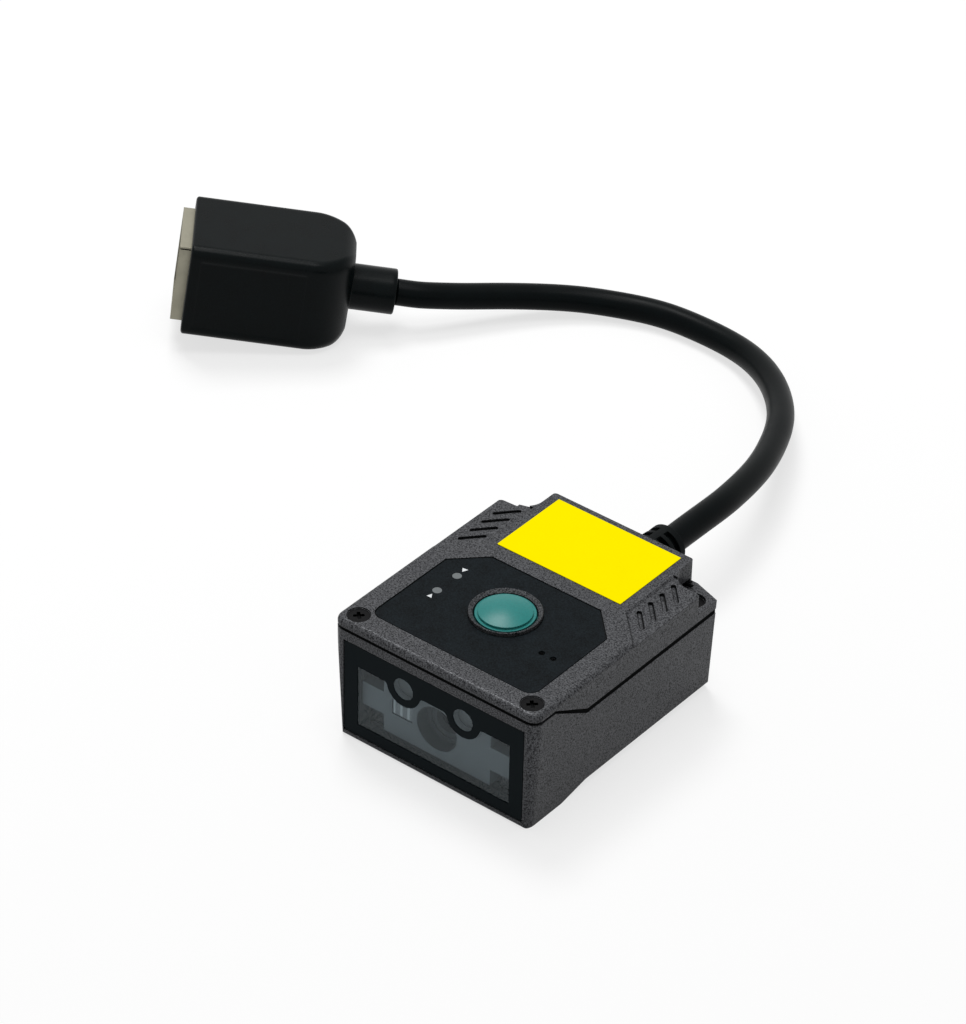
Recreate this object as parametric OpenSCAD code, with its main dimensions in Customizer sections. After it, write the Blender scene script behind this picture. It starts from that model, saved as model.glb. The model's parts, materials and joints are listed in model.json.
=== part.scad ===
// Compact fixed barcode reader with a scan button and a short cable to a modular socket.
// Millimetres. The base stands on z = 0, the window faces -Y and the cable leaves towards +Y.

/* [Housing] */
// Width across the top of the body
body_w = 41.5; // [40:0.5:46]
// Depth from the window side to the cable side
body_d = 49.5; // [48:0.5:56]
// Height from the base to the flat of the cover
body_h = 23.2; // [22.8:0.2:26]
// How far each side wall leans in from the top to the base
side_lean = 1.3; // [0.4:0.1:1.6]
// Radius of the upright corners
corner_r = 2.0; // [1.8:0.1:2.6]
// Rounding along the top edge of the cover
edge_r = 0.9; // [0.4:0.1:1]
// Rounding along the lower edge of the housing
base_r = 0.8; // [0.3:0.1:1.0]
// Thickness of the side, rear and bottom walls
wall = 1.6; // [1.2:0.1:1.8]
// Thickness of the front wall that carries the window
front_wall = 2.4; // [2.2:0.1:2.8]
// Thickness of the top plate of the cover
cover_t = 1.6; // [1.4:0.1:1.8]
// Height of the bevel along the lower side edges
base_bevel = 1.2; // [0.4:0.1:1.6]
// Length of the square-edged foot behind the window
foot_len = 9; // [8:0.5:14]
// Length of the cut across each rear corner, along the rear
rear_cut_x = 5.4; // [3:0.1:5.6]
// Depth of the cut across each rear corner, along the side
rear_cut_y = 1.75; // [1:0.05:2]

/* [Split line] */
// Cover height above the split line at the window side
lid_front = 1.9; // [1.8:0.1:2.2]
// Cover height above the split line at the cable side
lid_rear = 7.1; // [6.8:0.1:7.4]
// Distance from the front at which the split line starts to fall
split_start = 5.0; // [4.4:0.2:6]
// Distance over which the split line falls
split_run = 8.7; // [7:0.1:10]
// Thickness of the seal in the split line at the window side
seal_t = 0.6; // [0.3:0.05:0.8]
// Thickness of the seal in the split line at the cable side
seal_rear_t = 0.95; // [0.6:0.05:1.1]
// How far the seal sits back from the outside
seal_inset = 0.05; // [0.05:0.05:0.4]

/* [Cover screws] */
// Distance of a screw's axis from the side at the top
screw_inset_x = 3.1; // [2.8:0.1:3.4]
// Distance of a front screw's axis from the window side
front_screw_y = 2.85; // [2.7:0.05:3]
// Distance of a rear screw's axis from the cable side
rear_screw_y = 4.15; // [3.6:0.05:4.6]
// Diameter of a screw's countersunk head
screw_head_d = 3.7; // [3.4:0.1:3.9]
// Diameter of a screw's shank
screw_d = 1.6; // [1.4:0.1:1.8]
// Length of a screw below its head
screw_len = 7; // [5:0.5:9]
// Outer diameter of the bosses that take the cover screws
boss_d = 3.8; // [3.4:0.1:4]

/* [Window] */
// Width of the window pane
window_w = 36.8; // [35:0.1:37.2]
// Height of the window pane
window_h = 18.15; // [17.6:0.05:18.6]
// Height of the pane's lower edge above the base
window_z = 1.3; // [1.1:0.1:1.5]
// Thickness of the window pane
window_t = 0.7; // [0.6:0.05:0.9]
// How far the mask sits behind the front of the housing
window_recess = 0.1; // [0.05:0.05:0.2]
// Width of the clear field in the black mask
clear_w = 31.2; // [28:0.1:32]
// Height of the clear field in the black mask
clear_h = 11.75; // [11:0.05:12.4]
// Lower edge of the clear field above the pane's lower edge
clear_z = 2.25; // [1.8:0.05:2.6]
// Distance of an aimer hole from the middle
aimer_x = 6.1; // [5.8:0.1:6.6]
// Height of the aimer holes above the pane's lower edge
aimer_z = 14.2; // [13.8:0.1:14.4]
// Diameter of the aimer holes in the mask
aimer_hole_d = 4.0; // [3:0.1:4.4]
// Diameter of the round lobes of the mask that hold the aimer holes
lobe_d = 6.8; // [5.6:0.1:7.2]

/* [Cover top] */
// Width of the black overlay
overlay_w = 32.8; // [30:0.2:33]
// Depth of the black overlay
overlay_d = 24.2; // [23:0.1:25]
// Distance of the overlay from the window side
overlay_y = 4.45; // [4.2:0.05:5]
// Cut of the overlay's two rear corners
overlay_cut = 5.3; // [3:0.1:6]
// Radius of the overlay's two front corners
overlay_r = 1.8; // [1:0.1:2.4]
// Thickness of the overlay
overlay_t = 0.3; // [0.2:0.05:0.4]
// Width of the label
label_w = 25.3; // [20:0.1:26.5]
// Depth of the label
label_d = 16.35; // [14:0.05:17]
// Distance of the label from the cable side
label_y = 1.2; // [1:0.1:2]
// Distance of the status lights from the side at the top
light_inset = 8.45; // [7.8:0.05:9]
// Distance of the first status light from the window side
light_y = 16.05; // [15:0.05:17]
// Distance between the two status lights
light_pitch = 5.08; // [4.5:0.02:5.4]
// Diameter of a status light
light_d = 1.6; // [1.2:0.1:1.8]
// Distance of the sound holes' middle from the side at the top
sound_inset = 8.8; // [8.4:0.05:9.2]
// Distance of the sound holes from the window side
sound_y = 13.95; // [13.4:0.05:14.6]
// Distance between the two sound holes
sound_pitch = 2.3; // [1.8:0.1:3]
// Diameter of a sound hole
sound_d = 1.1; // [0.6:0.1:1.3]
// Half width of the raised block at the cable side
block_x = 14.4; // [13.6:0.1:14.8]
// Depth of the cut-out at each rear corner
notch_d = 6.65; // [6.2:0.05:7]
// Drop from the cover's top to the screw ears in the cut-outs
ear_drop = 4.4; // [3.8:0.1:4.5]
// Drop of the ribbed shoulders at their outer edge
shoulder_drop = 0.6; // [0.4:0.05:0.8]
// Length of the shoulders along the block
shoulder_len = 11.8; // [11.2:0.1:13]
// Number of grooves in each shoulder
groove_count = 4; // [2:1:4]
// Distance from one groove to the next
groove_pitch = 3.05; // [2.4:0.05:3.1]
// Length of a groove between the middles of its round ends
groove_len = 3.9; // [2.4:0.1:4.3]
// Width of a groove
groove_w = 0.9; // [0.6:0.1:1.1]

/* [Scan button] */
// Diameter of the button
button_d = 10.0; // [9:0.1:11]
// Distance of the button's axis from the window side
button_y = 18.3; // [17.8:0.1:18.8]
// Height of the button's dome above the cover
button_rise = 1.2; // [0.9:0.1:1.4]
// Travel of the button
button_travel = 0.4; // [0.2:0.05:0.5]
// Clearance round the button
button_gap = 0.3; // [0.1:0.05:0.4]
// Width of the raised ring round the button
ring_w = 0.75; // [0.6:0.05:1]
// Height of the raised ring above the cover
ring_h = 0.6; // [0.3:0.05:0.7]

/* [Scan engine] */
// Length of the frame's side arms beyond its body
arm_len = 4.5; // [4:0.1:5]
// Depth of the engine frame
engine_d = 12; // [11.4:0.1:13]
// Height of the engine frame's underside above the base
engine_z = 4.2; // [3.8:0.1:4.6]
// Lower edge of the frame's side arms above the base
arm_z = 7.35; // [6.8:0.05:7.8]
// Height of the frame's side arms
arm_h = 4.55; // [4:0.05:5]
// Height of the lens axis above the pane's lower edge
lens_z = 8.6; // [8.2:0.1:8.8]
// Diameter of the lens well in the frame's face
well_d = 8.2; // [7.6:0.1:8.6]
// Depth of the lens well
well_depth = 2.6; // [2:0.1:3]
// Outer diameter of the lens barrel
barrel_d = 6.5; // [6.2:0.1:6.8]
// Length of the lens barrel
barrel_len = 7.5; // [6:0.1:8]
// Diameter of the front lens
lens_d = 4.7; // [4:0.1:5]
// Width of the lamp pocket
lamp_w = 4.2; // [3.4:0.1:4.4]
// Height of the lamp pocket
lamp_h = 3.0; // [2.4:0.1:3.4]
// Distance of the lamp pocket from the side of the frame's body
lamp_inset = 1.7; // [1.4:0.1:2]

/* [Boards] */
// Thickness of the circuit boards
board_t = 1.0; // [0.8:0.1:1.2]
// Height of the posts below the main board
post_h = 2.0; // [1.9:0.1:2.4]
// Gap between the main board and the screw bosses at its sides
main_side_gap = 0.75; // [0.5:0.05:2]
// Gap between the control board and the side walls
control_side_gap = 1.75; // [1.4:0.05:2.4]
// Depth of the control board under the cover
control_d = 18.9; // [18:0.1:19.4]

/* [Fixing] */
// Distance between the two threaded inserts in the base
fix_pitch = 24; // [20:0.5:26]
// Diameter of the inserts' thread at its crest
fix_bore_d = 2.5; // [2.4:0.1:2.6]
// Outer diameter of the inserts
fix_outer_d = 4.0; // [3.8:0.1:4.4]
// Length of the inserts
fix_len = 3.0; // [2.6:0.1:3]

/* [Cable] */
// Diameter of the cable
cable_d = 5.0; // [4:0.1:5.4]
// Height of the cable's axis where it leaves the housing
cable_z = 12.3; // [11.6:0.1:12.4]
// Length of the strain relief outside the housing
boot_len = 12.75; // [11:0.25:16]
// Diameter of the strain relief at the housing
boot_d = 8.8; // [8.2:0.1:9.2]
// Diameter of the strain relief's end ring
boot_end_d = 7.4; // [6.8:0.1:8]
// Number of slots along the strain relief
boot_slots = 5; // [3:1:6]

/* [Socket] */
// Length of the socket's moulded body
socket_len = 30.3; // [28:0.1:34]
// Width of the socket's moulded body as it lies
socket_w = 19.6; // [17:0.1:21]
// Height of the socket's moulded body as it lies
socket_h = 19.0; // [18.4:0.1:21]
// Rounding of the moulded body at the cable end, seen from above
socket_r = 8.0; // [5:0.1:8.4]
// Rounding of the moulded body at the cable end, seen from the side
socket_end_r = 3.0; // [2:0.1:5]
// Length of the neck behind the moulded body
neck_len = 7.9; // [6:0.1:9]
// Diameter of the neck
neck_d = 8.5; // [7:0.1:9]
// Width of the metal shield as it lies
shield_w = 13.4; // [13:0.1:14]
// Height of the metal shield as it lies
shield_h = 15.8; // [15.6:0.1:16.4]
// Length of the metal shield
shield_len = 20; // [18:0.1:22]
// How far the shield stands out of the moulded body
shield_out = 2.1; // [1.5:0.1:3]
// Thickness of the shield's sheet
shield_t = 0.35; // [0.25:0.05:0.45]
// Width of the plug cavity
plug_w = 8.6; // [7.6:0.1:9]
// Height of the plug cavity
plug_h = 11.9; // [11.6:0.1:12.2]
// Depth of the plug cavity
plug_depth = 13.5; // [12:0.1:14]
// Number of spring contacts in the socket
contact_count = 8; // [4:2:8]
// Distance from one contact to the next
contact_pitch = 1.02; // [0.9:0.01:1.1]

/* [Hidden] */
$fn = 48;

// Reach of a cutter past the face that it cuts
over = 1;
// Gap between pieces that fit into each other
fit = 0.1;
// Gap between pieces that are pressed or glued together
snug = 0.03;

// Faces of the body
front_y = -body_d / 2;
rear_y = body_d / 2;
half_w = body_w / 2;
base_half_w = half_w - side_lean;
cover_under = body_h - cover_t;
lean_at_rear_split = side_lean * lid_rear / body_h;

// Split line between housing and cover
split_front_z = body_h - lid_front;
split_rear_z = body_h - lid_rear;
split_y0 = front_y + split_start;
split_y1 = split_y0 + split_run;

// Inside of the housing
inner_half_w = base_half_w - wall;
inner_front = front_y + front_wall;
inner_rear = rear_y - wall;

// Places of the cover screws and of the cut-outs at the rear corners
screw_x = half_w - screw_inset_x;
screw_front_y = front_y + front_screw_y;
screw_rear_y = rear_y - rear_screw_y;
notch_y = rear_y - notch_d;
ear_z = body_h - ear_drop;
head_sink = 0.15;
ear_sink = 0.55;
head_h = (screw_head_d - screw_d) / 2;
screw_hole_d = screw_d + 0.6;
pilot_d = screw_d + 0.1;
sink_d = screw_head_d + 0.3;
notch_fillet = 3.2;
shoulder_r = 0.8;
block_r = 0.6;
bevel_run = 10.7;

// Lower front corners, rounder than the cover's and kept clear of the window
corner_in = max(0.1, base_half_w - window_w / 2 - 2 * fit);
foot_corner_r = (corner_in * corner_in + corner_r * corner_r) / (2 * corner_in);

// Shoulders that fall from the block to the sides, with grooves of one depth
shoulder_step = 0.3;
shoulder_run = 0.4;
shoulder_fall = (shoulder_drop - shoulder_step) / (half_w - block_x - shoulder_run);
groove_deep = 0.4;
groove_turn = -46;
groove_x = block_x + 0.46 * (half_w - block_x);
groove_first_y = notch_y - groove_len / 2 - 0.5;

// Window stack, from the front to the lip behind it
mask_t = 0.1;
tape_t = 0.15;
pocket_d = window_recess + mask_t + window_t + tape_t;
mask_y = front_y + window_recess;
pane_y = mask_y + mask_t;
tape_y = pane_y + window_t;
lip_y = front_y + pocket_d;
pane_top = window_z + window_h;
lip_x = screw_x - boss_d / 2 + 0.1;
lip_z0 = window_z + 1.5;
lip_z1 = pane_top - 1.0;
clear_z0 = window_z + clear_z;
clear_z1 = clear_z0 + clear_h;
lobe_z = window_z + aimer_z;
lobe_fillet = 0.8;

// Scan engine
engine_gap = 0.15;
engine_y = lip_y + engine_gap;
engine_rear = engine_y + engine_d;
engine_top = lip_z1 - 0.45;
arm_t = 2.0;
boss_gap = 0.3;
arm_x = screw_x - boss_d / 2 - boss_gap;
engine_w = 2 * (arm_x - arm_len);
arm_screw_x = arm_x - arm_len / 2;
arm_screw_z = arm_z + arm_h / 2;
arm_post_d = 2.2;
lens_axis_z = window_z + lens_z;
bore_d = barrel_d + fit;
lamp_z = lens_axis_z;
lamp_x = engine_w / 2 - lamp_inset - lamp_w / 2;
lamp_depth = 3.0;
lamp_led_t = 0.8;
aimer_d = aimer_hole_d - 0.2;
aimer_depth = 6.5;
aimer_lens_t = 1.0;
pin_d = 1.2;
pin_x = engine_w / 2 - 1.6;
pin_z = engine_z + 1.8;
sensor_w = 4.2;
sensor_t = 0.8;
rib_x = engine_w / 2 - 3.4;
rib_w = 2.0;

// Main board above the bottom wall
main_w = 2 * (screw_x - boss_d / 2 - main_side_gap);
main_z = wall + post_h;
main_top = main_z + board_t;
main_y0 = engine_rear + 2.5;
main_y1 = inner_rear - 3.6;
main_screw_x = main_w / 2 - 2.6;
main_screw_ys = [main_y0 + 2.6, main_y1 - 2.6];
board_screw_d = 1.5;
board_pilot_d = 1.6;
board_hole_d = 2.2;
board_head_d = 3.4;
board_head_h = 1.1;
post_d = 4.0;
chip_w = 7.0;
chip_t = 1.2;
header_w = 9.0;
header_d = 4.0;
header_h = 4.2;
header_y = main_y1 - 1.0 - header_d / 2;
wire_d = 0.9;
wire_pitch = 1.5;
wire_count = 5;

// Control board under the cover
control_w = 2 * (inner_half_w - control_side_gap);
control_gap = 2.0;
control_top = cover_under - control_gap;
control_z = control_top - board_t;
control_y1 = button_axis_y() + control_d / 2 - 0.6;
control_y0 = control_y1 - control_d;
control_screw_x = control_w / 2 - 1.6;
control_screw_y = control_y1 - 2.4;
switch_w = 5.2;
switch_h = 0.8;
plunger_d = 2.0;
plunger_h = 0.25;
led_size = [1.6, 0.8, 0.5];
sound_w = 7.0;
sound_h = 1.6;
ribbon_t = 0.3;
ribbon_w = 7.0;
ribbon_y = control_y1 - 1.2;
ribbon_x0 = -(control_screw_x - board_head_d / 2 - 0.5);
chip_y = (ribbon_y + ribbon_t + header_y - header_d / 2) / 2;

// Overlay in its pocket
overlay_gap = 0.2;
overlay_sink = 0.08;

// Status lights and sound holes
light_x = half_w - light_inset;
sound_x = half_w - sound_inset;

// Scan button
button_stop_w = 0.7;
button_stop_gap = 0.1;
button_under = control_top + switch_h + plunger_h + button_travel + 0.05;
button_stop_top = cover_under - button_stop_gap;
button_rim_z = body_h + 0.1;
button_dome_d = button_d - 1;
button_dome_edge = body_h + 0.5;
ring_low = 0.1;
ring_edge = 0.12;

// Threaded inserts in the base
fix_boss_d = fix_outer_d + 2.4;
fix_boss_top = wall + post_h - fit;

// Strain relief
boot_neck_d = 7.2;
boot_flange_d = 9.2;
boot_flange_t = 1.5;
boot_collar_t = 1.2;
boot_ring_t = 1.2;
boot_core_d = cable_d + 0.6;
boot_web_w = 1.4;
boot_collar_more = 0.4;
boot_slot_share = 0.6;
boot_end_y = rear_y + boot_len;
boot_taper_len = boot_len - boot_collar_t - boot_ring_t;
boot_pitch = boot_taper_len / boot_slots;

// Route of the cable's axis from the strain relief to the socket's neck
cable_sides = 12;
route_points = [
    [0, 48, 12.2], [-0.2, 53, 11.9], [-0.9, 58, 11.3], [-3.2, 68, 9.8], [-6.8, 77.5, 8.2],
    [-11.2, 86, 6.8], [-17, 93.5, 5.4], [-24.5, 100, 4.1], [-33, 104.2, 3], [-43, 105.6, 2.55],
    [-51.6, 104.9, 2.55], [-59.2, 102.2, 2.7], [-65.54, 98.22, 3.27], [-70.88, 93.24, 4.04],
    [-75.86, 87.29, 5.04], [-80.47, 81.15, 6.1], [-82.85, 78, 6.75]
];

// The socket is turned and lies on its cable end, with the plug side tipped up
socket_turn = 39;
socket_tip = 8;
neck_z = socket_end_r - (neck_len + socket_end_r) * sin(socket_tip)
    + (socket_h / 2 - socket_end_r) * cos(socket_tip);
neck_end = [-88.59, 72.52, neck_z];
socket_dir = [
    cos(socket_turn) * cos(socket_tip), sin(socket_turn) * cos(socket_tip), -sin(socket_tip)
];
neck_lead = 4.2;
route = concat(
    [[0, boot_end_y, cable_z]],
    route_points,
    [neck_end + neck_lead * socket_dir, neck_end]
);

// Socket, in its own frame: x runs from the plug side to the cable, 0 at the neck's end
socket_x1 = -neck_len;
socket_x0 = socket_x1 - socket_len;
shield_x0 = socket_x0 - shield_out;
socket_edge_r = 1.8;
panel_deep = 0.25;
panel_start = 1.8;
panel_low = 1.9;
panel_high = 2.3;
panel_stop = 0.8;
shield_seam = 0.3;
insert_back = 1.0;
insert_len = shield_len - insert_back;
insert_setback = 0.4;
contact_t = 0.35;
contact_w = 0.45;
contact_reach = 8.0;
contact_off = 0.5;

function button_axis_y() = front_y + button_y;

// Rounded block

// Section through one upright edge of the block: length r inwards, rounded at top and foot
module edge_section(h, r, top_r, foot_r) {
    difference() {
        square([r, h]);
        translate([r - top_r, h - top_r]) difference() {
            square(top_r + over);
            circle(top_r);
        }
        translate([r - foot_r, foot_r]) difference() {
            translate([0, -foot_r - over]) square([foot_r + over, foot_r + over]);
            circle(foot_r);
        }
    }
}

// Block with round upright corners and rounded top and foot edges, standing on z = 0
module soft_block(w, d, h, r, top_r, foot_r) {
    for (turn = [0, 90, 180, 270]) {
        across = turn % 180 == 0 ? w : d;
        along = turn % 180 == 0 ? d : w;
        rotate(turn) translate([across / 2 - r, along / 2 - r, 0]) {
            rotate_extrude(angle = 90) edge_section(h, r, top_r, foot_r);
            rotate([90, 0, 0]) linear_extrude(along - 2 * r) edge_section(h, r, top_r, foot_r);
        }
    }
    translate([r - w / 2, r - d / 2, 0]) cube([w - 2 * r, d - 2 * r, h]);
}

// Prism along X from a profile drawn in Y and Z
module along_x(length) {
    translate([-length / 2, 0, 0]) rotate([90, 0, 90]) linear_extrude(length) children();
}

// Prism along Y from a profile drawn in X and Z
module along_y(y0, y1) {
    translate([0, y1, 0]) rotate([90, 0, 0]) linear_extrude(y1 - y0) children();
}

// Round bar along Y
module bar_y(x, z, y0, y1, d) {
    translate([x, y1, z]) rotate([90, 0, 0]) cylinder(d = d, h = y1 - y0);
}

// Box from its two corners
module box(low, high) {
    translate(low) cube(high - low);
}

// The same shape on the left and on the right
module both_sides() {
    children();
    mirror([1, 0, 0]) children();
}

// Rectangle in plan with round corners
module round_rect(w, d, r) {
    difference() {
        square([w, d], center = true);
        for (sx = [-1, 1], sy = [-1, 1])
            translate([sx * (w / 2 - r), sy * (d / 2 - r)]) difference() {
                translate([sx > 0 ? 0 : -r - over, sy > 0 ? 0 : -r - over]) square(r + over);
                circle(r);
            }
    }
}

// Whole outer form of housing and cover, square at the cable side
module body_block() {
    difference() {
        intersection() {
            translate([0, corner_r / 2, 0])
                soft_block(body_w, body_d + corner_r, body_h, corner_r, min(edge_r, corner_r / 2), base_r);
            along_y(front_y - over, rear_y) polygon([
                [-base_half_w, 0], [base_half_w, 0], [half_w, body_h], [-half_w, body_h]
            ]);
        }
        both_sides() lower_bevel();
        both_sides() translate([0, 0, -over]) linear_extrude(body_h + 2 * over) rear_cut_plan(0);
    }
}

// Plan of what is cut off the right rear corner, moved in by inset
module rear_cut_plan(inset) {
    shift = inset * norm([rear_cut_x, rear_cut_y]) / rear_cut_x;
    near_x = half_w - 2 * rear_cut_x;
    far_x = half_w + rear_cut_x;
    polygon([
        [near_x, rear_y + rear_cut_y - shift], [far_x, rear_y - 2 * rear_cut_y - shift],
        [far_x, rear_y + 2 * rear_cut_y], [near_x, rear_y + 2 * rear_cut_y]
    ]);
}

// Bevel along one lower side edge, run out towards the foot behind the window
module lower_bevel() {
    start = front_y + foot_len;
    intersection() {
        along_y(front_y, rear_y + over) polygon([
            [base_half_w - base_bevel, 0], [base_half_w - base_bevel - over, -over],
            [half_w + over, -over], [half_w + over, base_bevel + half_w + over - base_half_w]
        ]);
        along_x(2 * body_w) polygon([
            [start, -2 * over], [start, 0], [start + bevel_run, base_bevel + over],
            [rear_y + over, base_bevel + over], [rear_y + over, -2 * over]
        ]);
    }
}

// What is cut off the right lower front corner, leaning with the side wall
module front_corner() {
    translate([base_half_w, front_y, 0]) rotate([0, atan(side_lean / body_h), 0])
        translate([0, 0, -2 * over]) linear_extrude(body_h + 4 * over) difference() {
            translate([-corner_in, -over]) square([corner_in + over, corner_r + over]);
            translate([-foot_corner_r, corner_r]) circle(foot_corner_r);
        }
}

// Everything below the split line, raised at the window side and at the cable side
module below_split(lift, rear_lift) {
    along_x(2 * body_w) polygon([
        [front_y - over, -over], [rear_y + over, -over], [rear_y + over, split_rear_z + rear_lift],
        [split_y1, split_rear_z + rear_lift], [split_y0, split_front_z + lift],
        [front_y - over, split_front_z + lift]
    ]);
}

// Plan of the space inside the housing
module inside_plan() {
    difference() {
        translate([-inner_half_w, inner_front])
            square([2 * inner_half_w, inner_rear - inner_front]);
        both_sides() rear_cut_plan(wall);
    }
}

// Places of the four cover screws, left and right
module at_front_screws() {
    both_sides() translate([screw_x, screw_front_y, 0]) children();
}

module at_rear_screws() {
    both_sides() translate([screw_x, screw_rear_y, 0]) children();
}

// Lower housing

// Upright bosses and posts on the bottom wall
module housing_bosses() {
    at_front_screws() cylinder(d = boss_d, h = split_front_z);
    at_rear_screws() cylinder(d = boss_d, h = split_rear_z);
    for (y = main_screw_ys)
        both_sides() translate([main_screw_x, y, 0]) cylinder(d = post_d, h = main_z);
    both_sides() translate([fix_pitch / 2, 0, 0]) cylinder(d = fix_boss_d, h = fix_boss_top);
    both_sides() box(
        [arm_screw_x - 1.6, engine_y + arm_t, 0],
        [arm_screw_x + 1.6, engine_y + arm_t + arm_post_d, arm_z + arm_h]
    );
    both_sides() box(
        [rib_x - rib_w / 2, inner_front - over, 0],
        [rib_x + rib_w / 2, engine_rear - 1, engine_z]
    );
}

// Front opening: the pane's pocket and the hole in the lip behind it
module window_opening() {
    box(
        [-window_w / 2 - fit, front_y - over, window_z - fit],
        [window_w / 2 + fit, lip_y, pane_top + fit]
    );
    box([-lip_x, lip_y - over, lip_z0], [lip_x, inner_front + over, lip_z1]);
}

module lower_housing() {
    color([0.27, 0.27, 0.28]) difference() {
        intersection() {
            body_block();
            below_split(0, 0);
            union() {
                difference() {
                    translate([0, 0, body_h / 2]) cube([2 * body_w, 2 * body_d, 2 * body_h], center = true);
                    translate([0, 0, wall]) linear_extrude(body_h) inside_plan();
                }
                housing_bosses();
            }
        }
        window_opening();
        both_sides() front_corner();
        at_front_screws() translate([0, 0, split_front_z - screw_len])
            cylinder(d = pilot_d, h = screw_len + over);
        at_rear_screws() translate([0, 0, split_rear_z - screw_len])
            cylinder(d = pilot_d, h = screw_len + over);
        for (y = main_screw_ys)
            both_sides() translate([main_screw_x, y, wall / 2])
                cylinder(d = board_pilot_d, h = main_z);
        both_sides() translate([fix_pitch / 2, 0, -over])
            cylinder(d = fix_outer_d + 2 * snug, h = fix_len + over);
        both_sides() bar_y(
            arm_screw_x, arm_screw_z, engine_y, engine_y + arm_t + arm_post_d + over,
            board_screw_d + 2 * fit
        );
        bar_y(0, cable_z, inner_rear - over, rear_y + over, boot_neck_d + 2 * fit);
    }
}

// Top cover

// Plan of the space inside the cover, clear of the screw ears
module cover_inside_plan() {
    translate([-inner_half_w, inner_front])
        square([2 * inner_half_w, notch_y - wall - inner_front]);
    translate([-(block_x - wall), inner_front])
        square([2 * (block_x - wall), inner_rear - inner_front]);
}

// Plan of the cut-out at the right rear corner, with a fillet against the block's round corner
module notch_plan() {
    difference() {
        translate([block_x, notch_y]) square([body_w, body_d]);
        translate([block_x, notch_y]) difference() {
            square(notch_fillet);
            translate([notch_fillet, notch_fillet]) circle(notch_fillet);
        }
    }
    translate([half_w - shoulder_r, notch_y - shoulder_r]) difference() {
        square(shoulder_r + over);
        circle(shoulder_r);
    }
    translate([block_x - block_r, rear_y - block_r]) difference() {
        square(block_r + over);
        circle(block_r);
    }
}

// Plan of the ribbed shoulder on the right of the block
module shoulder_plan() {
    reach = half_w + over - block_x;
    polygon([
        [block_x, notch_y + over], [block_x, notch_y - shoulder_len],
        [block_x + reach, notch_y - shoulder_len - reach], [block_x + reach, notch_y + over]
    ]);
}

// What is cut off above the right shoulder, which falls from the block to the side
module shoulder_cut() {
    inner_z = body_h + over * shoulder_step / shoulder_run;
    outer_z = body_h - shoulder_drop - shoulder_fall * over;
    intersection() {
        translate([0, 0, body_h - 2 * over]) linear_extrude(4 * over) shoulder_plan();
        along_y(front_y, rear_y) polygon([
            [block_x - over, inner_z], [block_x + shoulder_run, body_h - shoulder_step],
            [half_w + over, outer_z],
            [half_w + over, body_h + 2 * over], [block_x - over, body_h + 2 * over]
        ]);
    }
}

// Plan of one groove about its middle
module groove_plan() {
    square([groove_len, groove_w], center = true);
    for (end = [-1, 1]) translate([end * groove_len / 2, 0]) circle(d = groove_w);
}

// Grooves on the right shoulder, slanting out towards the window side
module shoulder_grooves() {
    z = body_h - shoulder_step - shoulder_fall * (groove_x - block_x - shoulder_run);
    for (i = [0 : groove_count - 1])
        translate([groove_x, groove_first_y - i * groove_pitch, z]) rotate([0, atan(shoulder_fall), 0])
            translate([0, 0, -groove_deep]) rotate(groove_turn) linear_extrude(body_h) groove_plan();
}

// Plan of the overlay, grown on all sides
module overlay_plan(grow) {
    x = overlay_w / 2 + grow;
    y0 = front_y + overlay_y - grow;
    y1 = front_y + overlay_y + overlay_d + grow;
    cut = overlay_cut + grow * (2 - sqrt(2));
    r = overlay_r + grow;
    difference() {
        polygon([[-x, y0], [x, y0], [x, y1 - cut], [x - cut, y1], [cut - x, y1], [-x, y1 - cut]]);
        for (side = [-1, 1])
            translate([side * (x - r), y0 + r]) difference() {
                translate([side > 0 ? 0 : -r - over, -r - over]) square(r + over);
                circle(r);
            }
    }
}

// Places of the two status lights and of the two sound holes
module at_lights() {
    for (i = [0, 1])
        translate([-light_x, front_y + light_y + i * light_pitch, 0]) children();
}

module at_sound_holes() {
    for (side = [-1, 1])
        translate([sound_x + side * sound_pitch / 2, front_y + sound_y, 0]) children();
}

// Raised ring round the button, sloping in towards it like a funnel
module button_ring() {
    inner = button_d / 2 + button_gap;
    outer = inner + ring_w;
    translate([0, button_axis_y(), 0]) rotate_extrude() polygon([
        [inner, cover_under], [outer, cover_under], [outer, body_h + ring_h - ring_edge],
        [outer - ring_edge, body_h + ring_h], [inner, body_h + ring_low]
    ]);
}

// Hole and countersink of one cover screw whose head lies at z
module screw_sink(z) {
    cylinder(d = screw_hole_d, h = 2 * body_h);
    translate([0, 0, z - head_h]) cylinder(d1 = screw_d, d2 = sink_d, h = head_h * sink_d / screw_head_d);
    translate([0, 0, z]) cylinder(d = sink_d, h = body_h);
}

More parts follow.
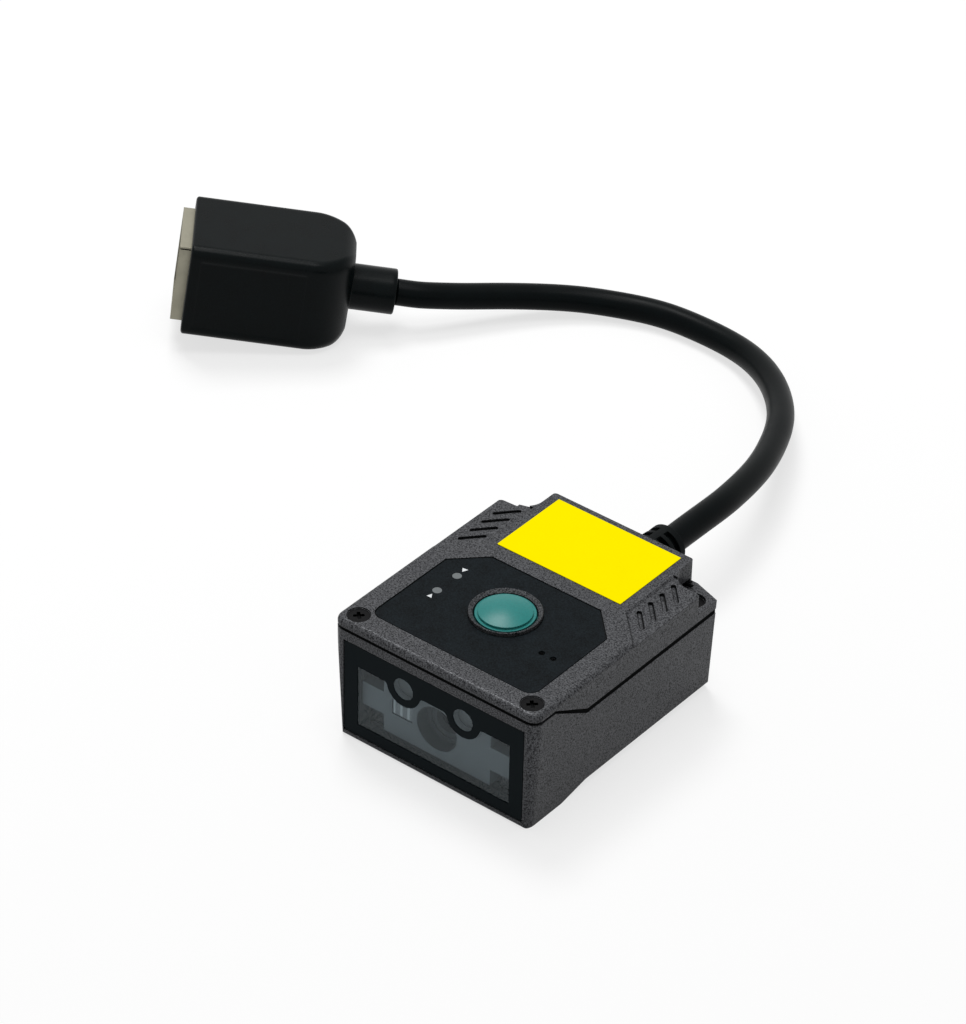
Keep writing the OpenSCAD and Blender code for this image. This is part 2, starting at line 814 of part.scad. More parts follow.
module top_cover() {
    color([0.29, 0.29, 0.3]) difference() {
        union() {
            difference() {
                body_block();
                below_split(seal_t, seal_rear_t);
                translate([0, 0, -over]) linear_extrude(cover_under + over) cover_inside_plan();
                both_sides() translate([0, 0, ear_z]) linear_extrude(body_h) notch_plan();
                both_sides() shoulder_cut();
                both_sides() shoulder_grooves();
                translate([0, 0, body_h - overlay_sink - overlay_t]) linear_extrude(body_h)
                    overlay_plan(overlay_gap);
                both_sides() box(
                    [block_x - over, screw_rear_y - 1, ear_z - 0.6],
                    [block_x + 0.9, rear_y - 0.9, ear_z + over]
                );
            }
            button_ring();
            both_sides() translate([control_screw_x, control_screw_y, control_top])
                cylinder(d = 3.2, h = cover_t / 2 + control_gap);
        }
        translate([0, button_axis_y(), 0]) cylinder(d = button_d + 2 * button_gap, h = 2 * body_h);
        at_lights() cylinder(d = light_d + fit, h = 2 * body_h);
        at_sound_holes() cylinder(d = sound_d, h = 2 * body_h);
        at_front_screws() screw_sink(body_h - head_sink);
        at_rear_screws() screw_sink(ear_z - ear_sink);
        both_sides() translate([control_screw_x, control_screw_y, 0])
            cylinder(d = board_pilot_d, h = cover_under - 0.2);
    }
}

// Black rubber seal in the split line
module housing_seal() {
    outer_w = 2 * (half_w - lean_at_rear_split - seal_inset);
    outer_d = body_d - 2 * seal_inset;
    color([0.03, 0.03, 0.03]) difference() {
        below_split(seal_t, seal_rear_t);
        below_split(0, 0);
        both_sides() front_corner();
        difference() {
            translate([0, 0, -2 * over]) linear_extrude(2 * body_h) square(3 * body_d, center = true);
            translate([0, 0, -3 * over]) linear_extrude(2 * body_h + 2 * over) difference() {
                round_rect(outer_w, outer_d, corner_r);
                both_sides() rear_cut_plan(seal_inset);
                difference() {
                    inside_plan();
                    at_front_screws() circle(d = boss_d);
                    at_rear_screws() circle(d = boss_d);
                }
                at_front_screws() circle(d = screw_hole_d);
                at_rear_screws() circle(d = screw_hole_d);
            }
        }
    }
}

module top_overlay() {
    color([0.1, 0.11, 0.12]) translate([0, 0, body_h - overlay_sink - overlay_t])
        linear_extrude(overlay_t) difference() {
            overlay_plan(0);
            translate([0, button_axis_y()]) circle(d = button_d + 2 * (button_gap + ring_w + fit));
            at_lights() circle(d = light_d + fit);
            at_sound_holes() circle(d = sound_d);
        }
}

module blank_label() {
    label_t = 0.12;
    color([1, 0.9, 0]) translate([0, rear_y - label_y - label_d / 2, body_h])
        linear_extrude(label_t) round_rect(label_w, label_d, 0.15);
}

// Scan button: stop flange, skirt and rim with a shallow dome
module scan_button() {
    dome_half = button_dome_d / 2;
    dome_rise = body_h + button_rise - button_dome_edge;
    dome_r = (dome_half * dome_half + dome_rise * dome_rise) / (2 * dome_rise);
    color([0.2, 0.55, 0.5]) translate([0, button_axis_y(), 0]) rotate_extrude() {
        translate([0, button_under])
            square([button_d / 2 + button_stop_w, button_stop_top - button_under]);
        translate([0, button_under]) square([button_d / 2, button_rim_z - button_under]);
        translate([0, button_under]) square([dome_half, button_dome_edge - button_under]);
        intersection() {
            translate([0, body_h + button_rise - dome_r]) circle(dome_r, $fn = 96);
            translate([0, button_rim_z]) square([dome_half, button_rise]);
        }
    }
}

module tact_switch() {
    color([0.15, 0.15, 0.16]) translate([0, button_axis_y(), control_top]) {
        translate([0, 0, switch_h / 2]) cube([switch_w, switch_w, switch_h], center = true);
        cylinder(d = plunger_d, h = switch_h + plunger_h);
    }
}

module light_pipes() {
    pipe_z = control_top + led_size[2] + fit;
    color([0.8, 0.85, 0.85, 0.6]) at_lights() {
        translate([0, 0, pipe_z]) cylinder(d = light_d, h = body_h - 0.1 - pipe_z);
        translate([0, 0, cover_under - 0.5]) cylinder(d = light_d + 0.8, h = 0.5);
    }
}

module status_leds() {
    color([0.9, 0.9, 0.8]) at_lights() translate([-led_size[0] / 2, -led_size[1] / 2, control_top])
        cube(led_size);
}

// Countersunk cross-head screw with its head's face at z = 0
module cover_screw() {
    cross_w = 0.6;
    cross_len = screw_head_d / 2;
    difference() {
        union() {
            translate([0, 0, -head_h]) cylinder(d1 = screw_d, d2 = screw_head_d, h = head_h);
            translate([0, 0, -screw_len]) cylinder(d = screw_d, h = screw_len - head_h / 2);
        }
        for (turn = [0, 90]) rotate(turn)
            translate([-cross_len / 2, -cross_w / 2, -0.55]) cube([cross_len, cross_w, over]);
    }
}

module front_cover_screws() {
    color([0.08, 0.08, 0.08]) at_front_screws() translate([0, 0, body_h - head_sink])
        rotate(45) cover_screw();
}

module rear_cover_screws() {
    color([0.08, 0.08, 0.08]) at_rear_screws() translate([0, 0, ear_z - ear_sink])
        rotate(50) cover_screw();
}

// Window

module window_pane() {
    color([0.35, 0.38, 0.4, 0.35]) along_y(pane_y, tape_y) translate([0, window_z + window_h / 2])
        round_rect(window_w, window_h, 0.4);
}

// Black mask in front of the pane: a clear field with two round lobes hanging into it
module window_mask() {
    color([0.02, 0.02, 0.02]) along_y(mask_y, pane_y) difference() {
        translate([0, window_z + window_h / 2]) round_rect(window_w - 2 * fit, window_h - 2 * fit, 0.4);
        difference() {
            translate([-clear_w / 2, clear_z0]) square([clear_w, clear_h]);
            for (side = [-1, 1]) translate([side * aimer_x, lobe_z]) circle(d = lobe_d);
            for (side = [-1, 1], edge = [-1, 1]) translate([side * aimer_x, clear_z1]) lobe_corner(edge);
        }
        for (side = [-1, 1]) translate([side * aimer_x, lobe_z]) circle(d = aimer_hole_d);
    }
}

// Fillet between a lobe and the upper edge of the clear field
module lobe_corner(edge) {
    middle_x = sqrt(pow(lobe_d / 2 + lobe_fillet, 2) - pow(lobe_z - clear_z1 + lobe_fillet, 2));
    difference() {
        translate([edge > 0 ? 0 : -middle_x, -lobe_fillet]) square([middle_x, lobe_fillet + over]);
        translate([edge * middle_x, -lobe_fillet]) circle(lobe_fillet);
    }
}

module window_tape() {
    color([0.12, 0.12, 0.12]) along_y(tape_y, lip_y) difference() {
        translate([0, window_z + window_h / 2]) round_rect(window_w - 2 * fit, window_h - 2 * fit, 0.4);
        translate([-lip_x, lip_z0]) square([2 * lip_x, lip_z1 - lip_z0]);
    }
}

// Scan engine

module engine_frame() {
    color([0.33, 0.34, 0.35]) difference() {
        union() {
            box([-engine_w / 2, engine_y, engine_z], [engine_w / 2, engine_rear, engine_top]);
            box([-arm_x, engine_y, arm_z], [arm_x, engine_y + arm_t, arm_z + arm_h]);
            both_sides() bar_y(pin_x, pin_z, engine_rear - over, engine_rear + board_t + 0.3, pin_d);
        }
        bar_y(0, lens_axis_z, engine_y - over, engine_y + well_depth, well_d);
        bar_y(0, lens_axis_z, engine_y, engine_rear + over, bore_d);
        box(
            [-lamp_x - lamp_w / 2, engine_y - over, lamp_z - lamp_h / 2],
            [-lamp_x + lamp_w / 2, engine_y + lamp_depth, lamp_z + lamp_h / 2]
        );
        for (side = [-1, 1])
            bar_y(side * aimer_x, lobe_z, engine_y - over, engine_y + aimer_depth, aimer_d + fit);
        both_sides() bar_y(arm_screw_x, arm_screw_z, engine_y + 0.6, engine_y + arm_t + over, board_pilot_d);
    }
}

module lens_barrel() {
    y0 = engine_y + well_depth + 0.3;
    color([0.06, 0.06, 0.07]) difference() {
        bar_y(0, lens_axis_z, y0, y0 + barrel_len, barrel_d);
        bar_y(0, lens_axis_z, y0 - over, y0 + barrel_len + over, lens_d + fit);
    }
}

// Front lens with two domed faces
module front_lens() {
    edge_t = 0.6;
    bulge = 0.45;
    half = lens_d / 2;
    ball_r = (half * half + bulge * bulge) / (2 * bulge);
    y0 = engine_y + well_depth + 1.4;
    color([0.4, 0.45, 0.6, 0.5]) translate([0, y0, lens_axis_z]) rotate([-90, 0, 0])
        rotate_extrude() intersection() {
            translate([0, -bulge]) square([half, edge_t + 2 * bulge]);
            translate([0, ball_r - bulge]) circle(ball_r, $fn = 96);
            translate([0, edge_t + bulge - ball_r]) circle(ball_r, $fn = 96);
        }
}

module image_sensor() {
    color([0.1, 0.12, 0.16]) box(
        [-sensor_w / 2, engine_rear - sensor_t, lens_axis_z - sensor_w / 2],
        [sensor_w / 2, engine_rear, lens_axis_z + sensor_w / 2]
    );
}

module engine_board() {
    edge = 0.2;
    color([0.05, 0.25, 0.12]) difference() {
        box(
            [-engine_w / 2 + edge, engine_rear, engine_z + edge],
            [engine_w / 2 - edge, engine_rear + board_t, engine_top - edge]
        );
        both_sides() bar_y(pin_x, pin_z, engine_rear - over, engine_rear + board_t + over, pin_d + fit);
    }
}

module lamp_led() {
    led_w = 2.0;
    color([0.9, 0.9, 0.75]) translate([-lamp_x, engine_y + lamp_depth - lamp_led_t / 2, lamp_z])
        cube([led_w, lamp_led_t, led_w], center = true);
}

// Clear block in front of the lamp
module lamp_optic() {
    color([0.85, 0.88, 0.9, 0.5]) box(
        [-lamp_x - lamp_w / 2 + fit, engine_y + 0.2, lamp_z - lamp_h / 2 + fit],
        [-lamp_x + lamp_w / 2 - fit, engine_y + lamp_depth - lamp_led_t - fit, lamp_z + lamp_h / 2 - fit]
    );
}

module aimer_lenses() {
    color([0.55, 0.57, 0.58]) for (side = [-1, 1])
        bar_y(side * aimer_x, lobe_z, engine_y + fit, engine_y + fit + aimer_lens_t, aimer_d);
}

module aimer_modules() {
    color([0.7, 0.6, 0.3]) for (side = [-1, 1])
        bar_y(
            side * aimer_x, lobe_z, engine_y + 2 * fit + aimer_lens_t, engine_y + aimer_depth - fit, aimer_d
        );
}

// Pan-head screw along +Z, with the underside of its head at z = 0
module board_screw(length) {
    difference() {
        union() {
            translate([0, 0, -board_head_h]) cylinder(d = board_head_d, h = board_head_h);
            cylinder(d = board_screw_d, h = length);
        }
        for (turn = [0, 90]) rotate(turn)
            translate([-0.9, -0.2, -board_head_h - over]) cube([1.8, 0.4, over + 0.5]);
    }
}

module engine_screws() {
    color("silver") both_sides()
        translate([arm_screw_x, engine_y + arm_t + arm_post_d, arm_screw_z])
            rotate([90, 0, 0]) board_screw(arm_post_d + 1.2);
}

// Boards

module main_board() {
    color([0.05, 0.25, 0.12]) difference() {
        box([-main_w / 2, main_y0, main_z], [main_w / 2, main_y1, main_top]);
        for (y = main_screw_ys)
            both_sides() translate([main_screw_x, y, 0]) cylinder(d = board_hole_d, h = body_h);
    }
}

module decoder_chip() {
    color([0.08, 0.08, 0.09]) translate([0, chip_y, main_top + chip_t / 2])
        cube([chip_w, chip_w, chip_t], center = true);
}

module wire_header() {
    color([0.9, 0.88, 0.8]) translate([0, header_y, main_top + header_h / 2])
        cube([header_w, header_d, header_h], center = true);
}

// Wires from the header up and back to the strain relief
module cable_wires() {
    wire_y1 = inner_rear - boot_flange_t;
    color([0.6, 0.15, 0.12]) for (i = [0 : wire_count - 1])
        translate([(i - (wire_count - 1) / 2) * wire_pitch, header_y, 0]) {
            translate([0, 0, main_top + header_h])
                cylinder(d = wire_d, h = cable_z - main_top - header_h);
            translate([0, 0, cable_z]) sphere(d = wire_d);
            bar_y(0, cable_z, 0, wire_y1 - header_y, wire_d);
        }
}

module main_board_screws() {
    color("silver") for (y = main_screw_ys)
        both_sides() translate([main_screw_x, y, main_top]) mirror([0, 0, 1])
            board_screw(board_t + post_h);
}

module control_board() {
    color([0.05, 0.25, 0.12]) difference() {
        box([-control_w / 2, control_y0, control_z], [control_w / 2, control_y1, control_top]);
        both_sides() translate([control_screw_x, control_screw_y, 0])
            cylinder(d = board_screw_d + 2 * fit, h = body_h);
    }
}

module sound_unit() {
    color([0.12, 0.12, 0.12]) difference() {
        translate([sound_x, front_y + sound_y, control_top + sound_h / 2])
            cube([sound_w, sound_w, sound_h], center = true);
        translate([sound_x, front_y + sound_y, control_top + sound_h - 0.5]) cylinder(d = 2, h = over);
    }
}

module control_board_screws() {
    color("silver") both_sides() translate([control_screw_x, control_screw_y, control_z])
        board_screw(board_t + control_gap - 0.3);
}

// Flat ribbon from the engine board onto the main board
module engine_ribbon() {
    color([0.75, 0.6, 0.3]) box(
        [-ribbon_w / 2, engine_rear + board_t, main_top],
        [ribbon_w / 2, main_y0 + 3, main_top + ribbon_t]
    );
}

// Flat ribbon standing between the main board and the control board
module control_ribbon() {
    color([0.75, 0.6, 0.3]) box(
        [ribbon_x0, ribbon_y, main_top],
        [ribbon_x0 + ribbon_w, ribbon_y + ribbon_t, control_z]
    );
}

// Threaded inserts in the base
module fixing_inserts() {
    color([0.75, 0.6, 0.25]) both_sides() translate([fix_pitch / 2, 0, 0]) difference() {
        cylinder(d = fix_outer_d, h = fix_len);
        translate([0, 0, -over]) cylinder(d = fix_bore_d, h = fix_len + 2 * over);
    }
}

// Cable and strain relief

// Slotted strain relief: flange inside the wall, neck in it, collar, tapered tube and end ring
module strain_relief() {
    slot_len = boot_pitch * boot_slot_share;
    taper_y = rear_y + boot_collar_t;
    color([0.06, 0.06, 0.07]) difference() {
        union() {
            bar_y(0, cable_z, inner_rear - boot_flange_t, inner_rear, boot_flange_d);
            bar_y(0, cable_z, inner_rear - fit, rear_y + fit, boot_neck_d);
            bar_y(0, cable_z, rear_y, taper_y, boot_d + boot_collar_more);
            translate([0, taper_y, cable_z]) rotate([-90, 0, 0])
                cylinder(d1 = boot_d, d2 = boot_end_d, h = boot_taper_len);
            bar_y(0, cable_z, boot_end_y - boot_ring_t, boot_end_y, boot_end_d);
        }
        for (i = [0 : boot_slots - 1])
            boot_slot(taper_y + (i + 1) * boot_pitch - slot_len, slot_len);
    }
}

// One ring-shaped slot, left open at the two webs above and below the cable
module boot_slot(y, length) {
    difference() {
        bar_y(0, cable_z, y, y + length, boot_d + 2 * over);
        bar_y(0, cable_z, y - over, y + length + over, boot_core_d);
        translate([-boot_web_w / 2, y - over, cable_z - boot_d])
            cube([boot_web_w, length + 2 * over, 2 * boot_d]);
    }
}

// Unit vector along v
function unit(v) = v / norm(v);

// Direction of the route at point i: square to the strain relief and to the neck at its ends
function route_dir(i) =
    i == 0 ? [0, 1, 0] :
    i == len(route) - 1 ? -socket_dir :
    unit(route[i + 1] - route[i - 1]);

// Ring of points round the route at point i
function route_ring(i) =
    let(
        ahead = route_dir(i),
        side = unit(cross([0, 0, 1], ahead)),
        up = cross(ahead, side)
    )
    [for (k = [0 : cable_sides - 1])
        let(turn = 360 * k / cable_sides)
        route[i] + cable_d / 2 * (cos(turn) * side + sin(turn) * up)];

// Free cable: one tube swept along the route
module cable() {
    last = len(route) - 1;
    points = [for (i = [0 : last]) each route_ring(i)];
    walls = [for (i = [0 : last - 1], k = [0 : cable_sides - 1])
        let(next = (k + 1) % cable_sides)
        [i * cable_sides + k, (i + 1) * cable_sides + k,
            (i + 1) * cable_sides + next, i * cable_sides + next]];
    start_cap = [for (k = [0 : cable_sides - 1]) k];
    end_cap = [for (k = [cable_sides - 1 : -1 : 0]) last * cable_sides + k];
    color([0.05, 0.05, 0.06]) polyhedron(points, concat([start_cap, end_cap], walls));
}

// Socket

module at_socket() {
    translate(neck_end) rotate([0, socket_tip, socket_turn]) children();
}

// Outline of the moulded body seen square on, rounded at the cable end
module socket_outline(across, round_r) {
    r = min(round_r, across / 2 - 0.5);
    difference() {
        translate([socket_x0, -across / 2]) square([socket_len, across]);
        for (side = [-1, 1])
            translate([socket_x1 - r, side * (across / 2 - r)]) difference() {
                translate([0, side > 0 ? 0 : -r - over]) square(r + over);
                circle(r);
            }
    }
}

module socket_overmould() {
    color([0.07, 0.08, 0.08]) at_socket() difference() {
        union() {
            intersection() {
                translate([0, 0, -socket_h]) linear_extrude(2 * socket_h) socket_outline(socket_w, socket_r);
                translate([0, socket_w, 0]) rotate([90, 0, 0]) linear_extrude(2 * socket_w)
                    socket_outline(socket_h, socket_end_r);
                translate([socket_x0 - over, 0, 0]) rotate([90, 0, 90])
                    linear_extrude(socket_len + 2 * over) round_rect(socket_w, socket_h, socket_edge_r);
            }
            translate([-neck_len - over, 0, 0]) rotate([0, 90, 0]) cylinder(d = neck_d, h = neck_len + over);
        }
        translate([socket_x0 - over, -shield_w / 2 - snug, -shield_h / 2 - snug])
            cube([shield_len - shield_out + over + snug, shield_w + 2 * snug, shield_h + 2 * snug]);
        both_sides_y()
            translate([socket_x0 + panel_start, socket_w / 2 - panel_deep, panel_low - socket_h / 2])
            cube([socket_len - socket_r - panel_start - panel_stop, over, socket_h - panel_low - panel_high]);
    }
}

// The same shape on both flanks of the socket
module both_sides_y() {
    children();
    mirror([0, 1, 0]) children();
}

// Folded sheet shield, open towards the plug
module socket_shield() {
    color([0.68, 0.66, 0.6]) at_socket() difference() {
        translate([shield_x0, -shield_w / 2, -shield_h / 2]) cube([shield_len, shield_w, shield_h]);
        translate([shield_x0 - over, -shield_w / 2 + shield_t, -shield_h / 2 + shield_t])
            cube([shield_len + over - shield_t, shield_w - 2 * shield_t, shield_h - 2 * shield_t]);
        translate([shield_x0 - over, -shield_w / 2 - over, shield_h / 2 - shield_t - shield_seam])
            cube([shield_out + over - 0.1, shield_t + 2 * over, shield_seam]);
    }
}

// Plastic insert with the plug cavity
module socket_insert() {
    x0 = shield_x0 + insert_setback;
    w = shield_w - 2 * shield_t - 2 * snug;
    h = shield_h - 2 * shield_t - 2 * snug;
    color([0.1, 0.1, 0.1]) at_socket() difference() {
        translate([x0, -w / 2, -h / 2]) cube([insert_len - insert_setback, w, h]);
        translate([x0 - over, -plug_w / 2, -plug_h / 2]) cube([plug_depth + over, plug_w, plug_h]);
    }
}

// Spring contacts along one flank of the plug cavity, held in its back wall
module socket_contacts() {
    x1 = shield_x0 + insert_setback + plug_depth;
    color([0.85, 0.7, 0.3]) at_socket() for (i = [0 : contact_count - 1])
        translate([
            x1 - contact_reach, plug_w / 2 - contact_off - contact_t,
            (i - (contact_count - 1) / 2) * contact_pitch - contact_w / 2
        ]) cube([contact_reach, contact_t, contact_w]);
}

lower_housing();
top_cover();
housing_seal();
top_overlay();
blank_label();
scan_button();
tact_switch();
light_pipes();
status_leds();
front_cover_screws();
rear_cover_screws();
window_pane();
window_mask();
window_tape();
engine_frame();
lens_barrel();
front_lens();
image_sensor();
engine_board();
lamp_led();
lamp_optic();
aimer_lenses();
aimer_modules();
engine_screws();
main_board();
decoder_chip();
wire_header();
cable_wires();
main_board_screws();
control_board();
sound_unit();
control_board_screws();
engine_ribbon();
control_ribbon();
fixing_inserts();
strain_relief();
cable();
socket_overmould();
socket_shield();
socket_insert();
socket_contacts();
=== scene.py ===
# %% [markdown]
# # A small fixed barcode reader
# The reader is a grey box the size of a matchbox that is screwed into a machine. It looks through a window
# in its front, has one push button on top and a short black cable that ends in a modular socket. The solids
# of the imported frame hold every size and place, so this lesson gives them their finishes and makes the few
# pieces that need a softer or thinner shape than a solid has: the cable, the moulded body of the socket and
# the two printed marks on the overlay.

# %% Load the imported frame
import json
import math

import bpy
import numpy as np
from mathutils import Matrix, Vector

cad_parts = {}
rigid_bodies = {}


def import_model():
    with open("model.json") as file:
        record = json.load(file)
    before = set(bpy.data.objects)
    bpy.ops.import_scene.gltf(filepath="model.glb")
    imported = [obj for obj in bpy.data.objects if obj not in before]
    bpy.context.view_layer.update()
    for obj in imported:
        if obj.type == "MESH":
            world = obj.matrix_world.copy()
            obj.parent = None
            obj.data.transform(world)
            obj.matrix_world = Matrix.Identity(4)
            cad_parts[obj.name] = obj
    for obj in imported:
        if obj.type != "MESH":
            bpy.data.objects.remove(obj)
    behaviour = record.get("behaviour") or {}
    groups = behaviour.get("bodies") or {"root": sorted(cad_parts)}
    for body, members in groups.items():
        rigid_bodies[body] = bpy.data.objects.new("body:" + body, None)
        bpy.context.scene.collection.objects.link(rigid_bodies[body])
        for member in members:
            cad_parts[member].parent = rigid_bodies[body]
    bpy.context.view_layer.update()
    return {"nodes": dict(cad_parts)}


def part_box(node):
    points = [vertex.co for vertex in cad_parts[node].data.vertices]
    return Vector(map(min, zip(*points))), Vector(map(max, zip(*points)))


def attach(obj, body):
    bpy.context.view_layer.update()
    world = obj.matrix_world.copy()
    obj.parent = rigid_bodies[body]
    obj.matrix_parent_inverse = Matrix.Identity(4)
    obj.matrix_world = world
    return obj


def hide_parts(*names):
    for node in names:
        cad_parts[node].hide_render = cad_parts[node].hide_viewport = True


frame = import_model()
node = frame["nodes"]
scene = bpy.context.scene
MM = 0.001

# %% [markdown]
# The camera comes first, because everything is judged through it. It could be turned by hand until the
# picture fits, but a camera on a tripod is easier to describe: it aims at a point on the floor, stands off
# by a distance, and is turned by an azimuth, an elevation and a slight roll. A long lens keeps the edges of
# the box almost parallel, as they are in a product picture. The sensor's width stands for the picture's
# longer side, so the focal length in pixels becomes millimetres through that side.

# %% Camera
PICTURE = (966, 1024)
FOCAL_PIXELS = 4378
SENSOR = 36.0
NEAREST, FARTHEST = 0.01, 20.0
aim_point = np.array([-39.8, 37.9, 0.0]) * MM
stand_off = 762 * MM
azimuth, elevation, roll = np.radians([38.07, 35.92, 1.33])

back = np.array([
    math.sin(azimuth) * math.cos(elevation), -math.cos(azimuth) * math.cos(elevation), math.sin(elevation)
])
level_right = np.array([math.cos(azimuth), math.sin(azimuth), 0.0])
level_up = np.cross(back, level_right)
right = math.cos(roll) * level_right + math.sin(roll) * level_up
up = -math.sin(roll) * level_right + math.cos(roll) * level_up

lens = bpy.data.cameras.new("camera")
lens.sensor_width = SENSOR
lens.lens = FOCAL_PIXELS * SENSOR / max(PICTURE)
lens.clip_start, lens.clip_end = NEAREST, FARTHEST
camera = bpy.data.objects.new("camera", lens)
placed = Matrix.Identity(4)
for axis, vector in enumerate((right, up, back)):
    placed.col[axis][:3] = vector
placed.col[3][:3] = aim_point + stand_off * back
camera.matrix_world = placed
scene.collection.objects.link(camera)
scene.camera = camera
print("camera: lens %.1f mm at" % lens.lens, np.round(np.array(placed.col[3][:3]) / MM, 1), "mm")

# %% [markdown]
# All new pieces are grids: a function of two parameters gives a whole array of points, and neighbouring
# points become four-cornered faces. One helper turns such an array into a mesh. The first index runs along
# the piece and the second runs round it, so the second wraps on itself, and flat caps close the two ends.

# %% Grid to mesh
def grid_faces(rows, columns):
    """Corner numbers of the faces between each ring and the next, each ring joined to its own start."""
    ring, step = np.meshgrid(np.arange(rows - 1), np.arange(columns), indexing="ij")
    after = (step + 1) % columns
    corners = [ring * columns + step, ring * columns + after,
               (ring + 1) * columns + after, (ring + 1) * columns + step]
    return np.stack(corners, axis=-1).reshape(-1, 4)


def tube_piece(name, points, smooth=True):
    """Closed piece from an array of rings (rows, columns, 3), with a flat cap on its first and last ring."""
    rows, columns = points.shape[:2]
    faces = grid_faces(rows, columns).tolist()
    faces.append(list(range(columns))[::-1])
    faces.append(list(range((rows - 1) * columns, rows * columns)))
    mesh = bpy.data.meshes.new(name)
    mesh.from_pydata(points.reshape(-1, 3), [], faces)
    mesh.polygons.foreach_set("use_smooth", np.full(len(faces), smooth))
    mesh.update()
    piece = bpy.data.objects.new(name, mesh)
    scene.collection.objects.link(piece)
    return piece


print("three rings of four points make", len(grid_faces(3, 4)), "faces")

# %% [markdown]
# The cable is a fixed length of round rubber-like lead. It leaves the reader straight, falls to the floor in
# a wide bend, touches it and climbs a little into the neck of the socket, which lies on the floor with its
# cable end and is tipped up by the stiff lead. A curve object would do, but a curve through given points
# can have small dents at them. A cubic spline that shares slope and bend at every point has none, so
# the route is worked out first and a circle is carried along it.

# %% Route of the cable
BOOT_END = np.array([0.0, 37.5, 12.3])
SOCKET_TURN, SOCKET_TIP = math.radians(39), math.radians(8)
SOCKET_H, END_R, NECK_LEN, NECK_LEAD = 19.0, 3.0, 7.9, 4.2
ROUTE_RINGS = 240
PLUMB = np.array([0.0, 0.0, 1.0])
neck_height = (END_R - (NECK_LEN + END_R) * math.sin(SOCKET_TIP)
               + (SOCKET_H / 2 - END_R) * math.cos(SOCKET_TIP))
neck_end = np.array([-88.59, 72.52, neck_height])
level_axis = np.array([math.cos(SOCKET_TURN), math.sin(SOCKET_TURN), 0.0])
socket_axis = math.cos(SOCKET_TIP) * level_axis - math.sin(SOCKET_TIP) * PLUMB
route_points = np.vstack([
    BOOT_END,
    [[0, 48, 12.2], [-0.2, 53, 11.9], [-0.9, 58, 11.3], [-3.2, 68, 9.8], [-6.8, 77.5, 8.2],
     [-11.2, 86, 6.8], [-17, 93.5, 5.4], [-24.5, 100, 4.1], [-33, 104.2, 3], [-43, 105.6, 2.55],
     [-51.6, 104.9, 2.55], [-59.2, 102.2, 2.7], [-65.54, 98.22, 3.27], [-70.88, 93.24, 4.04],
     [-75.86, 87.29, 5.04], [-80.47, 81.15, 6.1], [-82.85, 78, 6.75]],
    neck_end + NECK_LEAD * socket_axis,
    neck_end,
])


def spline_through(points, first_slope, last_slope, count):
    """Cubic spline with given end slopes: one row of equations for each inner point says that the bends on
    its two sides are equal, and the slopes that solve them all fix the cubic on every stretch."""
    chord = np.linalg.norm(np.diff(points, axis=0), axis=1)
    total = len(points)
    inner = np.arange(1, total - 1)
    system = np.zeros((total, total))
    system[0, 0] = system[-1, -1] = 1
    system[inner, inner - 1] = 1 / chord[:-1]
    system[inner, inner] = 2 / chord[:-1] + 2 / chord[1:]
    system[inner, inner + 1] = 1 / chord[1:]
    wanted = np.zeros((total, 3))
    wanted[0], wanted[-1] = first_slope, last_slope
    rise = np.diff(points, axis=0) / chord[:, None] ** 2
    wanted[inner] = 3 * (rise[:-1] + rise[1:])
    slope = np.linalg.solve(system, wanted)
    knots = np.concatenate([[0], np.cumsum(chord)])
    place = np.linspace(0, knots[-1], count)
    stretch = np.clip(np.searchsorted(knots, place, side="right") - 1, 0, total - 2)
    size = chord[stretch][:, None]
    t = (place - knots[stretch])[:, None] / size
    a, b = points[stretch], points[stretch + 1]
    ma, mb = slope[stretch] * size, slope[stretch + 1] * size
    return ((2 * t**3 - 3 * t**2 + 1) * a + (t**3 - 2 * t**2 + t) * ma
            + (3 * t**2 - 2 * t**3) * b + (t**3 - t**2) * mb)


route = spline_through(route_points, [0, 1, 0], -socket_axis, ROUTE_RINGS) * MM

# %% Cable
# The spline swings a hair wider than the straight stretches of the solid, so the cable is thinner by a skin.
CABLE_D, SKIN, CABLE_SIDES = 5.0, 0.02, 40


def circle_along(path, radius, sides):
    """Circle carried along a path: at each point it stands square to the path, with one spoke level."""
    ahead = np.gradient(path, axis=0)
    ahead /= np.linalg.norm(ahead, axis=1)[:, None]
    level = np.cross(PLUMB, ahead)
    level /= np.linalg.norm(level, axis=1)[:, None]
    rising = np.cross(ahead, level)
    turn = np.linspace(0, 2 * np.pi, sides, endpoint=False)
    spokes = np.cos(turn)[None, :, None] * level[:, None] + np.sin(turn)[None, :, None] * rising[:, None]
    return path[:, None] + radius * spokes


cable = tube_piece("cable_lead", circle_along(route, (CABLE_D / 2 - SKIN) * MM, CABLE_SIDES))
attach(cable, "reader")
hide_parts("cable")
print("cable:", len(cable.data.polygons), "faces")

# %% [markdown]
# The socket's moulded body is a soft black block. Its plug side is cut square round the metal shield, its
# long edges are rounded, and its cable side closes round a short neck: in a wide bend seen from above, in a
# tight one seen from the side. Such a body could be a box under a Subdivision Surface, but then its edges
# depend on the box's own faces. Here every ring is a rounded rectangle with its own half width, half height
# and corner radius, so that each of the two bends is an arc of its own.

